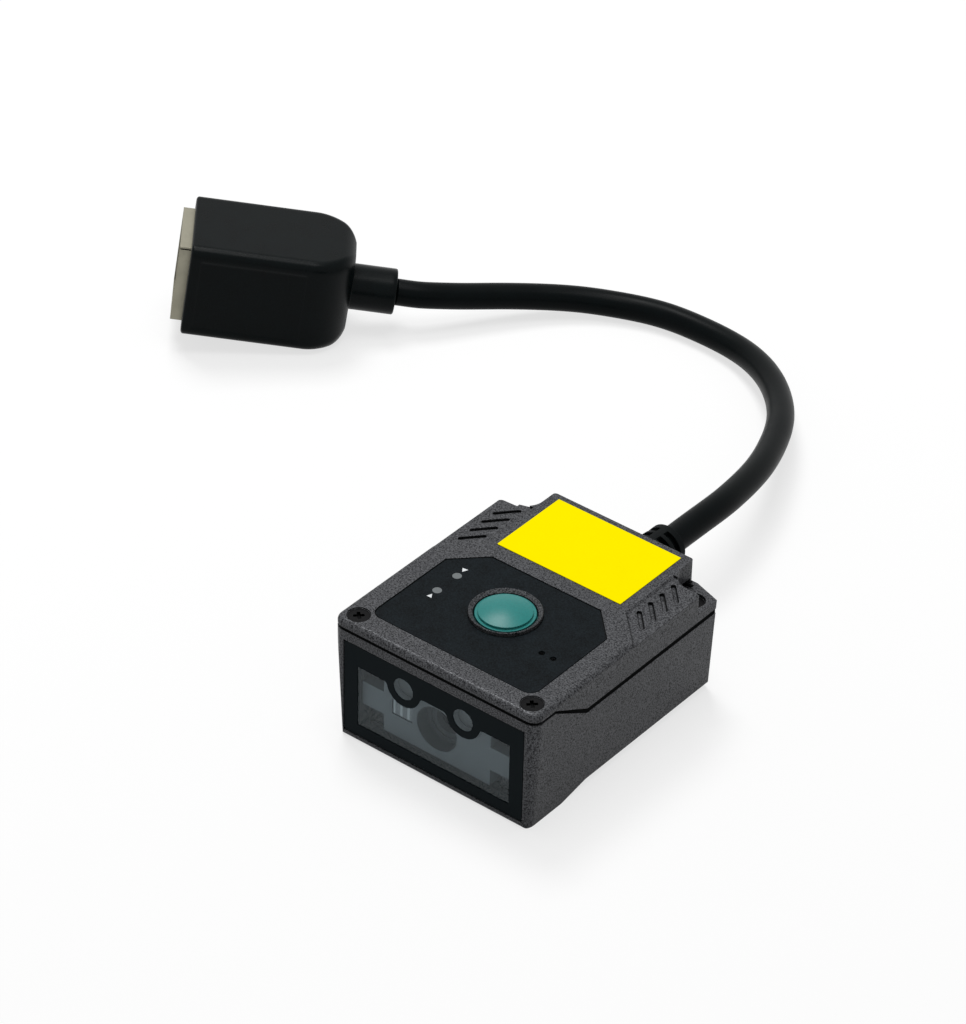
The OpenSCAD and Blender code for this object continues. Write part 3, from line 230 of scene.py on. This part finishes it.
# %% Rings of a rounded block
def rounded_rings(x, half_w, half_h, radius, columns):
    """Rings of rounded rectangles square to x: a point runs round the full rectangle, is pulled back to the
    nearest point of the rectangle that is smaller by the radius, and is pushed out from there by it."""
    turn = np.linspace(0, 4, columns, endpoint=False)
    side, along = turn.astype(int) % 4, 2 * (turn % 1) - 1
    square_y = np.select([side == 0, side == 1, side == 2], [1, -along, -1], along)
    square_z = np.select([side == 0, side == 1, side == 2], [along, 1, -along], -1)
    y, z = np.outer(half_w, square_y), np.outer(half_h, square_z)
    inner_y = np.clip(y, -(half_w - radius)[:, None], (half_w - radius)[:, None])
    inner_z = np.clip(z, -(half_h - radius)[:, None], (half_h - radius)[:, None])
    out_y, out_z = y - inner_y, z - inner_z
    reach = np.maximum(np.hypot(out_y, out_z), 1e-9)
    y = inner_y + radius[:, None] * out_y / reach
    z = inner_z + radius[:, None] * out_z / reach
    return np.stack([np.broadcast_to(x[:, None], y.shape), y, z], axis=-1)


def smooth_step(low, high, value):
    """0 below low, 1 above high, and an S-shaped cubic between them."""
    t = np.clip((value - low) / (high - low), 0, 1)
    return t * t * (3 - 2 * t)


print("a quarter of the way, the smooth step is at", smooth_step(0, 1, 0.25))

# %% Long walls and bends of the socket body
SOCKET_LEN, SOCKET_W, EDGE_R, EDGE_GROWTH = 30.3, 19.6, 1.8, 0.8
SWELL_R, NECK_D, SHOULDER = 8.0, 8.5, 0.15
LIP_R, WALL_START = 0.5, 0.7
LIP_RINGS, WALL_RINGS, SWELL_RINGS = 6, 110, 48

plug_side, cable_side = -NECK_LEN - SOCKET_LEN, -NECK_LEN
swell_start, neck_r = cable_side - SWELL_R, NECK_D / 2
swell_stop = math.acos(1 - (SOCKET_W / 2 - neck_r - SHOULDER) / SWELL_R)
swell_turn = np.linspace(0, swell_stop, SWELL_RINGS)
lip_turn = np.linspace(0, np.pi / 2, LIP_RINGS)
body_x = np.concatenate([
    plug_side + LIP_R * (1 - np.cos(lip_turn)),
    np.linspace(plug_side + WALL_START, swell_start, WALL_RINGS)[:-1],
    swell_start + SWELL_R * np.sin(swell_turn),
])
lip_pull = np.pad(LIP_R * (1 - np.sin(lip_turn)), (0, len(body_x) - LIP_RINGS))
swell_pull = np.pad(SWELL_R * (1 - np.cos(swell_turn)), (len(body_x) - SWELL_RINGS, 0))
end_reach = np.clip((body_x - cable_side + END_R) / END_R, 0, 1)
half_w = SOCKET_W / 2 - lip_pull - swell_pull
half_h = SOCKET_H / 2 - lip_pull - END_R * (1 - np.sqrt(1 - end_reach**2))
edge_r = EDGE_R + EDGE_GROWTH * smooth_step(swell_start, cable_side, body_x)
print("socket walls:", len(body_x), "rings, the wide bend turns by %.0f degrees" % math.degrees(swell_stop))

# %% Rings of the socket body
# Each row is one ring: its place along the socket, half width, half height and corner radius. The rings run
# out of the shield's pocket, along the walls, over the flat end face and down the neck.
SHIELD_W, SHIELD_H, SHIELD_LEN, SHIELD_OUT = 13.4, 15.8, 20.0, 2.1
POCKET_GAP, POCKET_R, POCKET_LIP = 0.03, 0.1, 0.2
NECK_FLARE = 0.03
RING_POINTS = 272

neck_foot = neck_r + NECK_FLARE
pocket_w, pocket_h = SHIELD_W / 2 + POCKET_GAP, SHIELD_H / 2 + POCKET_GAP
pocket_xs = (plug_side + SHIELD_LEN - SHIELD_OUT, plug_side + POCKET_LIP, plug_side)
end_x, end_w, end_h = body_x[-1], half_w[-1], half_h[-1]
end_face = [
    (end_x + 0.04, end_w - 0.05, end_h - 0.1, EDGE_R + EDGE_GROWTH),
    (end_x + 0.05, neck_r + 0.06, neck_r + 0.3, neck_r),
    (end_x + 0.06, neck_foot, neck_foot, neck_foot),
]
neck_profile = [
    (end_x + 0.3, neck_r), (-1.0, neck_r), (-0.3, neck_r), (-0.08, neck_r - 0.1), (0.0, neck_r - 0.3)
]
ring_rows = np.vstack([
    [(x, pocket_w, pocket_h, POCKET_R) for x in pocket_xs],
    np.column_stack([body_x, half_w, half_h, edge_r]),
    end_face,
    [(x, r, r, r) for x, r in neck_profile],
])
rings = rounded_rings(*ring_rows.T, RING_POINTS)
print("socket rings:", rings.shape[0], "of", rings.shape[1], "points")

# %% Socket body
# A shallow panel is pressed into both flanks, eased in from each of its four sides.
PANEL_DEPTH, PANEL_EASE, FLANK = 0.2, 0.4, 0.05
PANEL_START, PANEL_STOP, PANEL_LOW, PANEL_HIGH = 1.8, 0.8, 1.9, 2.3

x, y, z = np.moveaxis(rings, -1, 0)
inside_by = np.stack([
    x - plug_side - PANEL_START,
    swell_start - PANEL_STOP - x,
    z + SOCKET_H / 2 - PANEL_LOW,
    SOCKET_H / 2 - PANEL_HIGH - z,
])
panel = np.prod(smooth_step(0, PANEL_EASE, inside_by), axis=0) * (np.abs(y) > SOCKET_W / 2 - FLANK)
rings[..., 1] -= PANEL_DEPTH * panel * np.sign(y)

socket_side = np.cross(PLUMB, level_axis)
socket_frame = np.array([socket_axis, socket_side, np.cross(socket_axis, socket_side)])
socket_body = tube_piece("socket_body", (neck_end + rings @ socket_frame) * MM)
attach(socket_body, "reader")
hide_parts("socket_overmould")
print("socket body:", len(socket_body.data.polygons), "faces")

# %% [markdown]
# Two small white triangles on the overlay point at the status lights. They are print, which a picture could
# give, but a thin sheet needs none and stays sharp: each is a flat three-cornered sheet two hundredths of a
# millimetre thick that lies on the overlay.

# %% Printed marks
REAR_MARK = [(-12.94, -1.42), (-12.33, -2.28), (-11.87, -1.25)]
FRONT_MARK = [(-12.27, -10.0), (-12.65, -10.95), (-11.69, -10.92)]
PRINT_T = 0.02
overlay_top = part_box("top_overlay")[1].z / MM


def mark_piece(name, corners):
    """Prism over a triangle given by its corners in plan, from the overlay up by the print's thickness."""
    heights = (overlay_top, overlay_top + PRINT_T)
    rings = np.stack([np.column_stack([corners, np.full(len(corners), z)]) for z in heights])
    piece = tube_piece(name, rings * MM, smooth=False)
    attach(piece, "reader")
    return piece


rear_mark = mark_piece("rear_light_mark", REAR_MARK)
front_mark = mark_piece("front_light_mark", FRONT_MARK)
print("marks on the overlay at %.2f mm" % overlay_top)

# %% [markdown]
# The solids come as loose triangles, so a round corner would show its facets. Shading the whole mesh smooth
# would blur the crisp edges instead. Each corner of a triangle therefore gets its own normal: the mean, by
# area, of the triangles that meet at that place and turn away by less than a limit.

# %% Normals of the solids
CRISP_DEGREES = 32.0
SAME_PLACE = 1e-6


def shade_by_angle(piece):
    """Sets each triangle corner's normal to the area-weighted mean over the triangles at the same place
    whose normals lie within the limit. Corners at one place are found by sorting, and compared in pairs."""
    mesh = piece.data
    faces = len(mesh.polygons)
    places = np.empty(len(mesh.vertices) * 3, dtype=np.float32)
    mesh.vertices.foreach_get("co", places)
    corner_vertex = np.empty(len(mesh.loops), dtype=np.int32)
    mesh.loops.foreach_get("vertex_index", corner_vertex)
    normals, areas = np.empty(faces * 3, dtype=np.float32), np.empty(faces, dtype=np.float32)
    mesh.polygons.foreach_get("normal", normals)
    mesh.polygons.foreach_get("area", areas)
    corner_normal = np.repeat(normals.reshape(-1, 3), 3, axis=0).astype(float)
    corner_area = np.repeat(areas, 3).astype(float)

    spots = np.round(places.reshape(-1, 3)[corner_vertex] / SAME_PLACE).astype(np.int64)
    spot = np.unique(spots, axis=0, return_inverse=True)[1].ravel()
    order = np.argsort(spot, kind="stable")
    sizes = np.bincount(spot)
    firsts = np.cumsum(sizes) - sizes
    size_of, first_of = sizes[spot[order]], firsts[spot[order]]
    pairs_before = np.cumsum(size_of) - size_of
    one = np.repeat(np.arange(len(order)), size_of)
    other = np.arange(len(one)) + np.repeat(first_of - pairs_before, size_of)
    one, other = order[one], order[other]

    agree = np.einsum("ij,ij->i", corner_normal[one], corner_normal[other])
    near = agree > math.cos(math.radians(CRISP_DEGREES))
    weighted = corner_normal[other[near]] * corner_area[other[near]][:, None]
    mean = np.stack([np.bincount(one[near], weighted[:, k], len(order)) for k in range(3)], axis=-1)
    mean /= np.maximum(np.linalg.norm(mean, axis=1), 1e-12)[:, None]
    mesh.polygons.foreach_set("use_smooth", np.ones(faces, dtype=bool))
    mesh.normals_split_custom_set(mean.tolist())


for piece in node.values():
    shade_by_angle(piece)
print("normals set on", len(node), "nodes")

# %% [markdown]
# Finishes are node sheets. Long chains of Math nodes are hard to read, so one small class wraps a socket and
# lets sums be written as sums: every operator adds the node that does it. Any other node comes from one
# method, which takes its type, its settings and what goes into its sockets. The settings come first, because
# some of them change which sockets a node has.

# %% Node sheets
class Wire:
    """A socket on a node sheet; an empty one stands for the sheet itself. Operators add Math nodes."""

    def __init__(self, tree, socket=None):
        self.tree, self.socket = tree, socket

    def node(self, kind, settings=None, inputs=None, out=0):
        """Adds a node of that kind, sets its settings, feeds its sockets and gives one output as a Wire."""
        made = self.tree.nodes.new(kind)
        for name, value in (settings or {}).items():
            setattr(made, name, value)
        for name, value in (inputs or {}).items():
            if isinstance(value, Wire):
                self.tree.links.new(value.socket, made.inputs[name])
            else:
                made.inputs[name].default_value = value
        return Wire(self.tree, made.outputs[out] if made.outputs else None)

    def maths(self, operation, a, b=0.0):
        """Math node of that operation on two values; some operations use only the first."""
        return self.node("ShaderNodeMath", {"operation": operation}, {0: a, 1: b})

    def __add__(self, other):
        return self.maths("ADD", self, other)

    def __sub__(self, other):
        return self.maths("SUBTRACT", self, other)

    def __rsub__(self, other):
        return self.maths("SUBTRACT", other, self)

    def __mul__(self, other):
        return self.maths("MULTIPLY", self, other)

    def __or__(self, other):
        return self.maths("MAXIMUM", self, other)

    __radd__, __rmul__, __ror__ = __add__, __mul__, __or__


def new_finish(name):
    """A new material and its empty sheet."""
    material = bpy.data.materials.new(name)
    material.use_nodes = True
    material.node_tree.nodes.clear()
    return material, Wire(material.node_tree)


def rgb(red, green, blue):
    """Linear colour from the 0 to 255 values that a screen shows: a straight line for the darkest values and
    a power of 2.4 for the rest."""
    screen = np.array([red, green, blue]) / 255
    linear = np.where(screen <= 0.04045, screen / 12.92, ((screen + 0.055) / 1.055) ** 2.4)
    return (*map(float, linear), 1.0)


print("middle grey on a screen is", np.round(rgb(128, 128, 128), 3), "on the sheet")

# %% [markdown]
# Housing and cover share one speckled dark grey finish that looks like cast gunmetal: a fine grain of
# lighter and darker flecks a few tenths of a millimetre across, with a faint metallic gloss. Flecks could
# come from a picture, but noise at two sizes gives them without one and never repeats. The same noise raises
# the surface a hair, so that the flecks also catch the light. Narrow corners, grooves and steps get painted
# shade: the Ambient Occlusion node, which tells how shut in a point is, blends a darker tint in there. Worn
# edges are not needed, because the part is new.

# %% Helpers for all finishes
def noise(sheet, grain, detail=2.0, where=None):
    """Noise from 0 to 1 whose bumps are about grain metres across."""
    where = where or sheet.node("ShaderNodeTexCoord", out="Object")
    return sheet.node("ShaderNodeTexNoise", None,
                      {"Vector": where, "Scale": 1 / grain, "Detail": detail, "Roughness": 0.55})


def stretch(value, low, high):
    """Maps a value from low to high onto 0 to 1 and clips it there."""
    return value.node("ShaderNodeMapRange", {"clamp": True},
                      {"Value": value, "From Min": low, "From Max": high})


def blend(factor, a, b):
    """Colour a where the factor is 0 and colour b where it is 1."""
    return factor.node("ShaderNodeMix", {"data_type": "RGBA"}, {0: factor, 6: a, 7: b}, out=2)


def toned(colour, share):
    """The same colour times a share, up to full brightness."""
    return tuple(min(1.0, c * share) for c in colour[:3]) + (1.0,)


def grained_normal(height, depth, edge, strength):
    """Normal of a surface raised by height times depth metres, rolled over sharp edges within a radius."""
    rolled = height.node("ShaderNodeBevel", {"samples": 4}, {"Radius": edge})
    return height.node("ShaderNodeBump", None,
                       {"Height": height, "Distance": depth, "Strength": strength, "Normal": rolled})


def dress(material, *pieces):
    """Gives pieces one finish; a name stands for the node of that name."""
    pieces = [node[piece] if isinstance(piece, str) else piece for piece in pieces]
    for piece in pieces:
        piece.data.materials.clear()
        piece.data.materials.append(material)
    print(material.name, "on", ", ".join(piece.name for piece in pieces))


print("white toned to a half is", toned(rgb(255, 255, 255), 0.5))

# %% Cast housing finish
FLECK, CLOUD, CLOUD_SHARE = 0.25 * MM, 3.5 * MM, 0.16
FLECK_DARK, FLECK_LIGHT, CLOUD_GREY = rgb(26, 27, 29), rgb(100, 101, 104), rgb(50, 51, 53)
PAINTED_SHADE_REACH, PAINTED_SHADE_BLACK = 0.4 * MM, rgb(12, 13, 14)
cast, sheet = new_finish("cast_gunmetal")
fleck = noise(sheet, FLECK)
light = stretch(fleck, 0.35, 0.66)
cloud = stretch(noise(sheet, CLOUD, detail=3.0), 0.35, 0.65)
tint = blend(cloud * CLOUD_SHARE, blend(light, FLECK_DARK, FLECK_LIGHT), CLOUD_GREY)
# Painted shade: shut-in corners, grooves and steps are blended towards a near-black tint.
openness = sheet.node("ShaderNodeAmbientOcclusion", {"samples": 8, "only_local": True},
                      {"Distance": PAINTED_SHADE_REACH}, out="AO")
tint = blend(stretch(openness, 0.68, 0.985), PAINTED_SHADE_BLACK, tint)
surface = sheet.node("ShaderNodeBsdfPrincipled", None, {
    "Base Color": tint, "Metallic": 0.2, "Roughness": 0.42 - light * 0.16, "Specular IOR Level": 0.04,
    "Normal": grained_normal(fleck, depth=0.05 * MM, edge=0.1 * MM, strength=0.5),
})
sheet.node("ShaderNodeOutputMaterial", None, {"Surface": surface})
dress(cast, "lower_housing", "top_cover")

# %% [markdown]
# Most other visible pieces are moulded plastic or rubber. They differ in colour, in how dull they are and in
# the size of their grain, so one function makes them all. The grain is a little bump, a little change of
# colour and a little change of gloss, each from the same two noises.

# %% Moulded finish
BROADER = 14
FINE_SHARE, BROAD_SHARE = 0.7, 0.3
GLOSS_SHIFT = 0.08


def dress_moulded(name, colour, *pieces, rough, grain, depth=0.01, shine=0.3, shift=0.25, edge=0.12,
                  marking=None):
    """Plastic or rubber of one colour that shifts by a share. Grain, depth and edge radius are in
    millimetres. A marking is a colour and a function that gives the share of it on a sheet."""
    material, sheet = new_finish(name)
    fine, broad = noise(sheet, grain * MM), noise(sheet, BROADER * (grain * MM))
    mottle = stretch(FINE_SHARE * fine + BROAD_SHARE * broad, 0.3, 0.7)
    tint = blend(mottle, toned(colour, 1 - shift), toned(colour, 1 + shift))
    if marking:
        mark_colour, mark_share = marking
        tint = blend(mark_share(sheet), tint, mark_colour)
    surface = sheet.node("ShaderNodeBsdfPrincipled", None, {
        "Base Color": tint,
        "Roughness": rough - GLOSS_SHIFT + 2 * GLOSS_SHIFT * broad, "Specular IOR Level": shine,
        "Normal": grained_normal(fine, depth * MM, edge * MM, strength=0.6),
    })
    sheet.node("ShaderNodeOutputMaterial", None, {"Surface": surface})
    dress(material, *pieces)


print("moulded colour: fine noise counts for", FINE_SHARE, "and broad noise for", BROAD_SHARE)

# %% Moulded outer pieces
dress_moulded("overlay_black", rgb(18, 23, 26), "top_overlay",
              rough=0.5, grain=0.24, depth=0.02, shine=0.028, shift=0.9)
dress_moulded("label_yellow", rgb(255, 236, 0), "blank_label",
              rough=0.5, grain=0.3, depth=0.002, shine=0.0, shift=0.02, edge=0.03)
dress_moulded("button_teal", rgb(32, 122, 118), "scan_button",
              rough=0.32, grain=0.4, depth=0.006, shine=0.22, shift=0.08, edge=0.2)
dress_moulded("seal_black", rgb(3, 4, 4), "housing_seal", rough=0.8, grain=0.2, shine=0.02)
dress_moulded("print_white", rgb(225, 228, 230), rear_mark, front_mark,
              rough=0.6, grain=0.1, depth=0.001, shine=0.2, shift=0.05, edge=0.01)
dress_moulded("boot_rubber", rgb(8, 12, 13), "strain_relief",
              rough=0.55, grain=0.3, shine=0.05, shift=0.3, edge=0.2)
dress_moulded("cable_black", rgb(3, 7, 8), cable,
              rough=0.36, grain=0.35, depth=0.008, shine=0.05, shift=0.4)
dress_moulded("socket_black", rgb(3, 8, 9), socket_body,
              rough=0.3, grain=0.25, depth=0.015, shine=0.07, shift=0.6)
dress_moulded("insert_black", rgb(12, 12, 13), "socket_insert", rough=0.6, grain=0.25, shine=0.05)

# %% [markdown]
# Behind the window sits the scan engine. The pane is clear, so it is a mix of two shaders: most light passes
# straight through, and a small share that grows towards grazing angles is mirrored. A full glass shader
# would also bend the light, but through a thin flat pane that shift can't be seen, and it would keep the
# lamps from lighting what is behind. The front lens is made the same way. The engine's other pieces are
# moulded: the well round the lens is lined darker than the frame, and the optic of the lamp beside it
# carries painted highlights in upright stripes, the glints of ribs. Both are fields of colour worked out
# from the place on the piece.

# %% Clear finish
WHITE = (1.0, 1.0, 1.0, 1.0)


def dress_clear(name, colour, *pieces, index, rough, coat=WHITE):
    """Lets light pass in one colour and mirrors a share of it on front faces, as much as a clear material of
    that refractive index does: least when seen straight on, and all of it at a grazing angle."""
    material, sheet = new_finish(name)
    behind = sheet.node("ShaderNodeNewGeometry", out="Backfacing")
    share = sheet.node("ShaderNodeFresnel", None, {"IOR": index}) * (1 - behind)
    through = sheet.node("ShaderNodeBsdfTransparent", None, {"Color": colour})
    mirror = sheet.node("ShaderNodeBsdfGlossy", None, {"Color": coat, "Roughness": rough})
    surface = sheet.node("ShaderNodeMixShader", None, {0: share, 1: through, 2: mirror})
    sheet.node("ShaderNodeOutputMaterial", None, {"Surface": surface})
    dress(material, *pieces)


dress_clear("window_clear", (0.93, 0.96, 0.97, 1), "window_pane",
            index=1.36, rough=0.04, coat=(0.85, 0.96, 1, 1))
dress_clear("lens_clear", (0.6, 0.66, 0.74, 1), "front_lens", index=1.5, rough=0.03)

# %% Scan engine
WELL_R = 4.12 * MM
RIB_PITCH = 1.5 * MM
lens_low, lens_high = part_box("front_lens")


def place_along(sheet, axis):
    """Place of a point along one axis of the frame, in metres."""
    place = sheet.node("ShaderNodeTexCoord", out="Object")
    return sheet.node("ShaderNodeSeparateXYZ", None, {"Vector": place}, out=axis)


def in_well(sheet):
    """1 where a point lies within the lens well's radius of the lens axis, 0 outside."""
    across = place_along(sheet, "X") - (lens_low.x + lens_high.x) / 2
    above = place_along(sheet, "Z") - (lens_low.z + lens_high.z) / 2
    return sheet.maths("LESS_THAN", across * across + above * above, WELL_R**2)


def on_painted_rib_glints(sheet):
    """Share from 0 to 1 of painted highlights in upright stripes, like glints on ribs, a cosine of the place
    across.
    """
    rib_glint_wave = 0.5 + 0.5 * sheet.maths("COSINE", place_along(sheet, "X") * (2 * math.pi / RIB_PITCH))
    return stretch(rib_glint_wave, 0.55, 0.95)


# Painted highlights: the lamp optic's upright stripes are a lighter tint standing in for glints.
dress_moulded("optic_rib_glints", rgb(86, 93, 98), "lamp_optic", marking=(rgb(142, 150, 154), on_painted_rib_glints),
              rough=0.25, grain=0.4, depth=0.004, shine=0.4, shift=0.08)
dress_moulded("mask_print", rgb(12, 20, 23), "window_mask", "window_tape",
              rough=0.5, grain=0.5, depth=0.0, shine=0.03, shift=0.1)
dress_moulded("engine_grey", rgb(90, 96, 100), "engine_frame", marking=(rgb(58, 63, 67), in_well),
              rough=0.55, grain=0.35, shine=0.15, shift=0.12)
dress_moulded("barrel_grey", rgb(64, 69, 73), "lens_barrel",
              rough=0.5, grain=0.3, depth=0.002, shine=0.15, shift=0.1)
dress_moulded("aimer_grey", rgb(80, 85, 88), "aimer_lenses",
              rough=0.4, grain=0.3, depth=0.004, shine=0.2, shift=0.08)
dress_moulded("light_grey", rgb(105, 110, 112), "light_pipes",
              rough=0.35, grain=0.25, shine=0.2, shift=0.1)

# %% [markdown]
# Metal shows its making: sheet for the socket's shield is rolled, so it carries fine lines along one
# direction, while screws and inserts are turned and have almost none. Stretching the place before it reaches
# the noise turns grains into lines.

# %% Metal finishes
METAL_GRAIN, STAIN = 0.2 * MM, 4 * MM


def dress_metal(name, colour, *pieces, rough, scale=(1, 1, 1), depth=0.003):
    """Bare metal with lines of noise, which a small scale along one axis draws out along it. The depth of
    the lines is in millimetres."""
    material, sheet = new_finish(name)
    place = sheet.node("ShaderNodeTexCoord", out="Object")
    drawn = sheet.node("ShaderNodeMapping", None, {"Vector": place, "Scale": scale})
    lines = noise(sheet, METAL_GRAIN, detail=3.0, where=drawn)
    stain = noise(sheet, STAIN, detail=3.0)
    tarnish = 0.5 * stretch(stain, 0.3, 0.7) + 0.3 * lines
    surface = sheet.node("ShaderNodeBsdfPrincipled", None, {
        "Base Color": blend(tarnish, colour, toned(colour, 0.72)), "Metallic": 1.0,
        "Roughness": rough + 0.15 * stain,
        "Normal": grained_normal(lines, depth * MM, edge=0.1 * MM, strength=0.5),
    })
    sheet.node("ShaderNodeOutputMaterial", None, {"Surface": surface})
    dress(material, *pieces)


dress_metal("shield_nickel", rgb(146, 143, 128), "socket_shield", rough=0.34, scale=(1.0, 1.0, 0.06))
dress_metal("screw_black", rgb(13, 13, 14), "front_cover_screws", "rear_cover_screws", rough=0.4)
dress_metal("screw_steel", rgb(190, 190, 190), "engine_screws", "main_board_screws", "control_board_screws",
            rough=0.3)
dress_metal("brass_yellow", rgb(214, 178, 98), "fixing_inserts", "socket_contacts", "aimer_modules",
            rough=0.3)

# %% [markdown]
# What lies inside the closed housing is dressed too, because a reader may be opened or cut: green boards,
# black chips, amber ribbons, pale connectors and lights.

# %% Inner pieces
dress_moulded("board_green", rgb(22, 92, 52), "main_board", "control_board", "engine_board",
              rough=0.4, grain=0.5, depth=0.004, shine=0.4, shift=0.15)
dress_moulded("chip_black", rgb(28, 28, 30), "decoder_chip", "image_sensor", "tact_switch", "sound_unit",
              rough=0.55, grain=0.2)
dress_moulded("ribbon_amber", rgb(196, 140, 60), "engine_ribbon", "control_ribbon",
              rough=0.3, grain=0.6, depth=0.003, shine=0.5, shift=0.1)
dress_moulded("header_pale", rgb(226, 220, 200), "wire_header", rough=0.5, grain=0.4)
dress_moulded("wire_red", rgb(150, 36, 30), "cable_wires", rough=0.4, grain=0.3)
dress_moulded("lamp_pale", rgb(232, 232, 210), "lamp_led", "status_leds", rough=0.4, grain=0.3)
dressed = [name for name, piece in node.items() if any(used.use_nodes for used in piece.data.materials)]
print("nodes without a finish:", [name for name in node if name not in dressed])

# %% [markdown]
# The studio is a white sweep: a wide floor and an even white surrounding. To the camera, and in mirrors and
# clear pieces, both are white; for the light that falls on the reader they are dimmer, so that its sides
# keep their shade. The floor is mostly glow, with a part that lamps have to light, so it still darkens where
# the reader keeps their light from it. More lamps could brighten the floor instead, but they would flatten
# the reader as well.

# %% Floor
GLOW = 0.7
FLOOR_HALF = 3.0
PAPER_GRAIN = 6 * MM
PAPER_DARK, PAPER_LIGHT = (0.8, 0.8, 0.8, 1), (0.82, 0.82, 0.82, 1)


def seen_directly(sheet):
    """1 for rays from the camera and for mirrored or passing rays, 0 for light that is being spread."""
    camera_ray, mirrored, passing = (
        sheet.node("ShaderNodeLightPath", out="Is %s Ray" % kind)
        for kind in ("Camera", "Glossy", "Transmission")
    )
    return camera_ray | mirrored | passing


paper, sheet = new_finish("white_floor")
shade = blend(noise(sheet, PAPER_GRAIN), PAPER_DARK, PAPER_LIGHT)
matt = sheet.node("ShaderNodeBsdfDiffuse", None, {"Color": shade})
white = sheet.node("ShaderNodeBsdfDiffuse", None, {"Color": WHITE})
glow = sheet.node("ShaderNodeEmission", None, {"Color": WHITE, "Strength": 1.0})
lit = sheet.node("ShaderNodeMixShader", None, {0: GLOW, 1: white, 2: glow})
surface = sheet.node("ShaderNodeMixShader", None, {0: seen_directly(sheet), 1: matt, 2: lit})
sheet.node("ShaderNodeOutputMaterial", None, {"Surface": surface})

floor_mesh = bpy.data.meshes.new("floor")
floor_corners = FLOOR_HALF * np.array([(-1, -1, 0), (1, -1, 0), (1, 1, 0), (-1, 1, 0)])
floor_mesh.from_pydata(floor_corners, [], [(0, 1, 2, 3)])
floor_mesh.materials.append(paper)
floor = bpy.data.objects.new("floor", floor_mesh)
scene.collection.objects.link(floor)
print("floor: %.0f m square" % (2 * FLOOR_HALF))

# %% Surrounding
SPREAD_STRENGTH, SEEN_STRENGTH = 0.27, 1.0
scene.world = bpy.data.worlds.new("surrounding")
scene.world.use_nodes = True
scene.world.node_tree.nodes.clear()
sky = Wire(scene.world.node_tree)
dim = sky.node("ShaderNodeBackground", None, {"Color": WHITE, "Strength": SPREAD_STRENGTH})
bright = sky.node("ShaderNodeBackground", None, {"Color": WHITE, "Strength": SEEN_STRENGTH})
around = sky.node("ShaderNodeMixShader", None, {0: seen_directly(sky), 1: dim, 2: bright})
sky.node("ShaderNodeOutputWorld", None, {"Surface": around})
print("surrounding: strength", SPREAD_STRENGTH, "for spread light and", SEEN_STRENGTH, "as it is seen")

# %% [markdown]
# Two soft lamps light the reader. A large one hangs overhead and draws the bright line along the cable. A
# smaller and stronger one stands high behind on the left, so that the front and the right side fall into a
# soft shade. One lamp could do, but with two the gloss on top and the shade of the sides can be set apart.

# %% Lamps
LAMP_AIM = (-0.03, 0.03, 0.0)


def soft_lamp(name, place, size, power):
    """Square lamp of that size in metres and power in watts, turned to face the aim point."""
    light = bpy.data.lights.new(name, "AREA")
    light.size, light.energy = size, power
    lamp = bpy.data.objects.new(name, light)
    lamp.location = place
    lamp.rotation_mode = "QUATERNION"
    lamp.rotation_quaternion = (lamp.location - Vector(LAMP_AIM)).to_track_quat("Z", "Y")
    scene.collection.objects.link(lamp)


soft_lamp("overhead", (0.0, 0.02, 0.8), size=0.36, power=2.0)
soft_lamp("rear_left", (-0.32, 0.22, 0.75), size=0.28, power=3.4)
scene.view_settings.view_transform = "Standard"
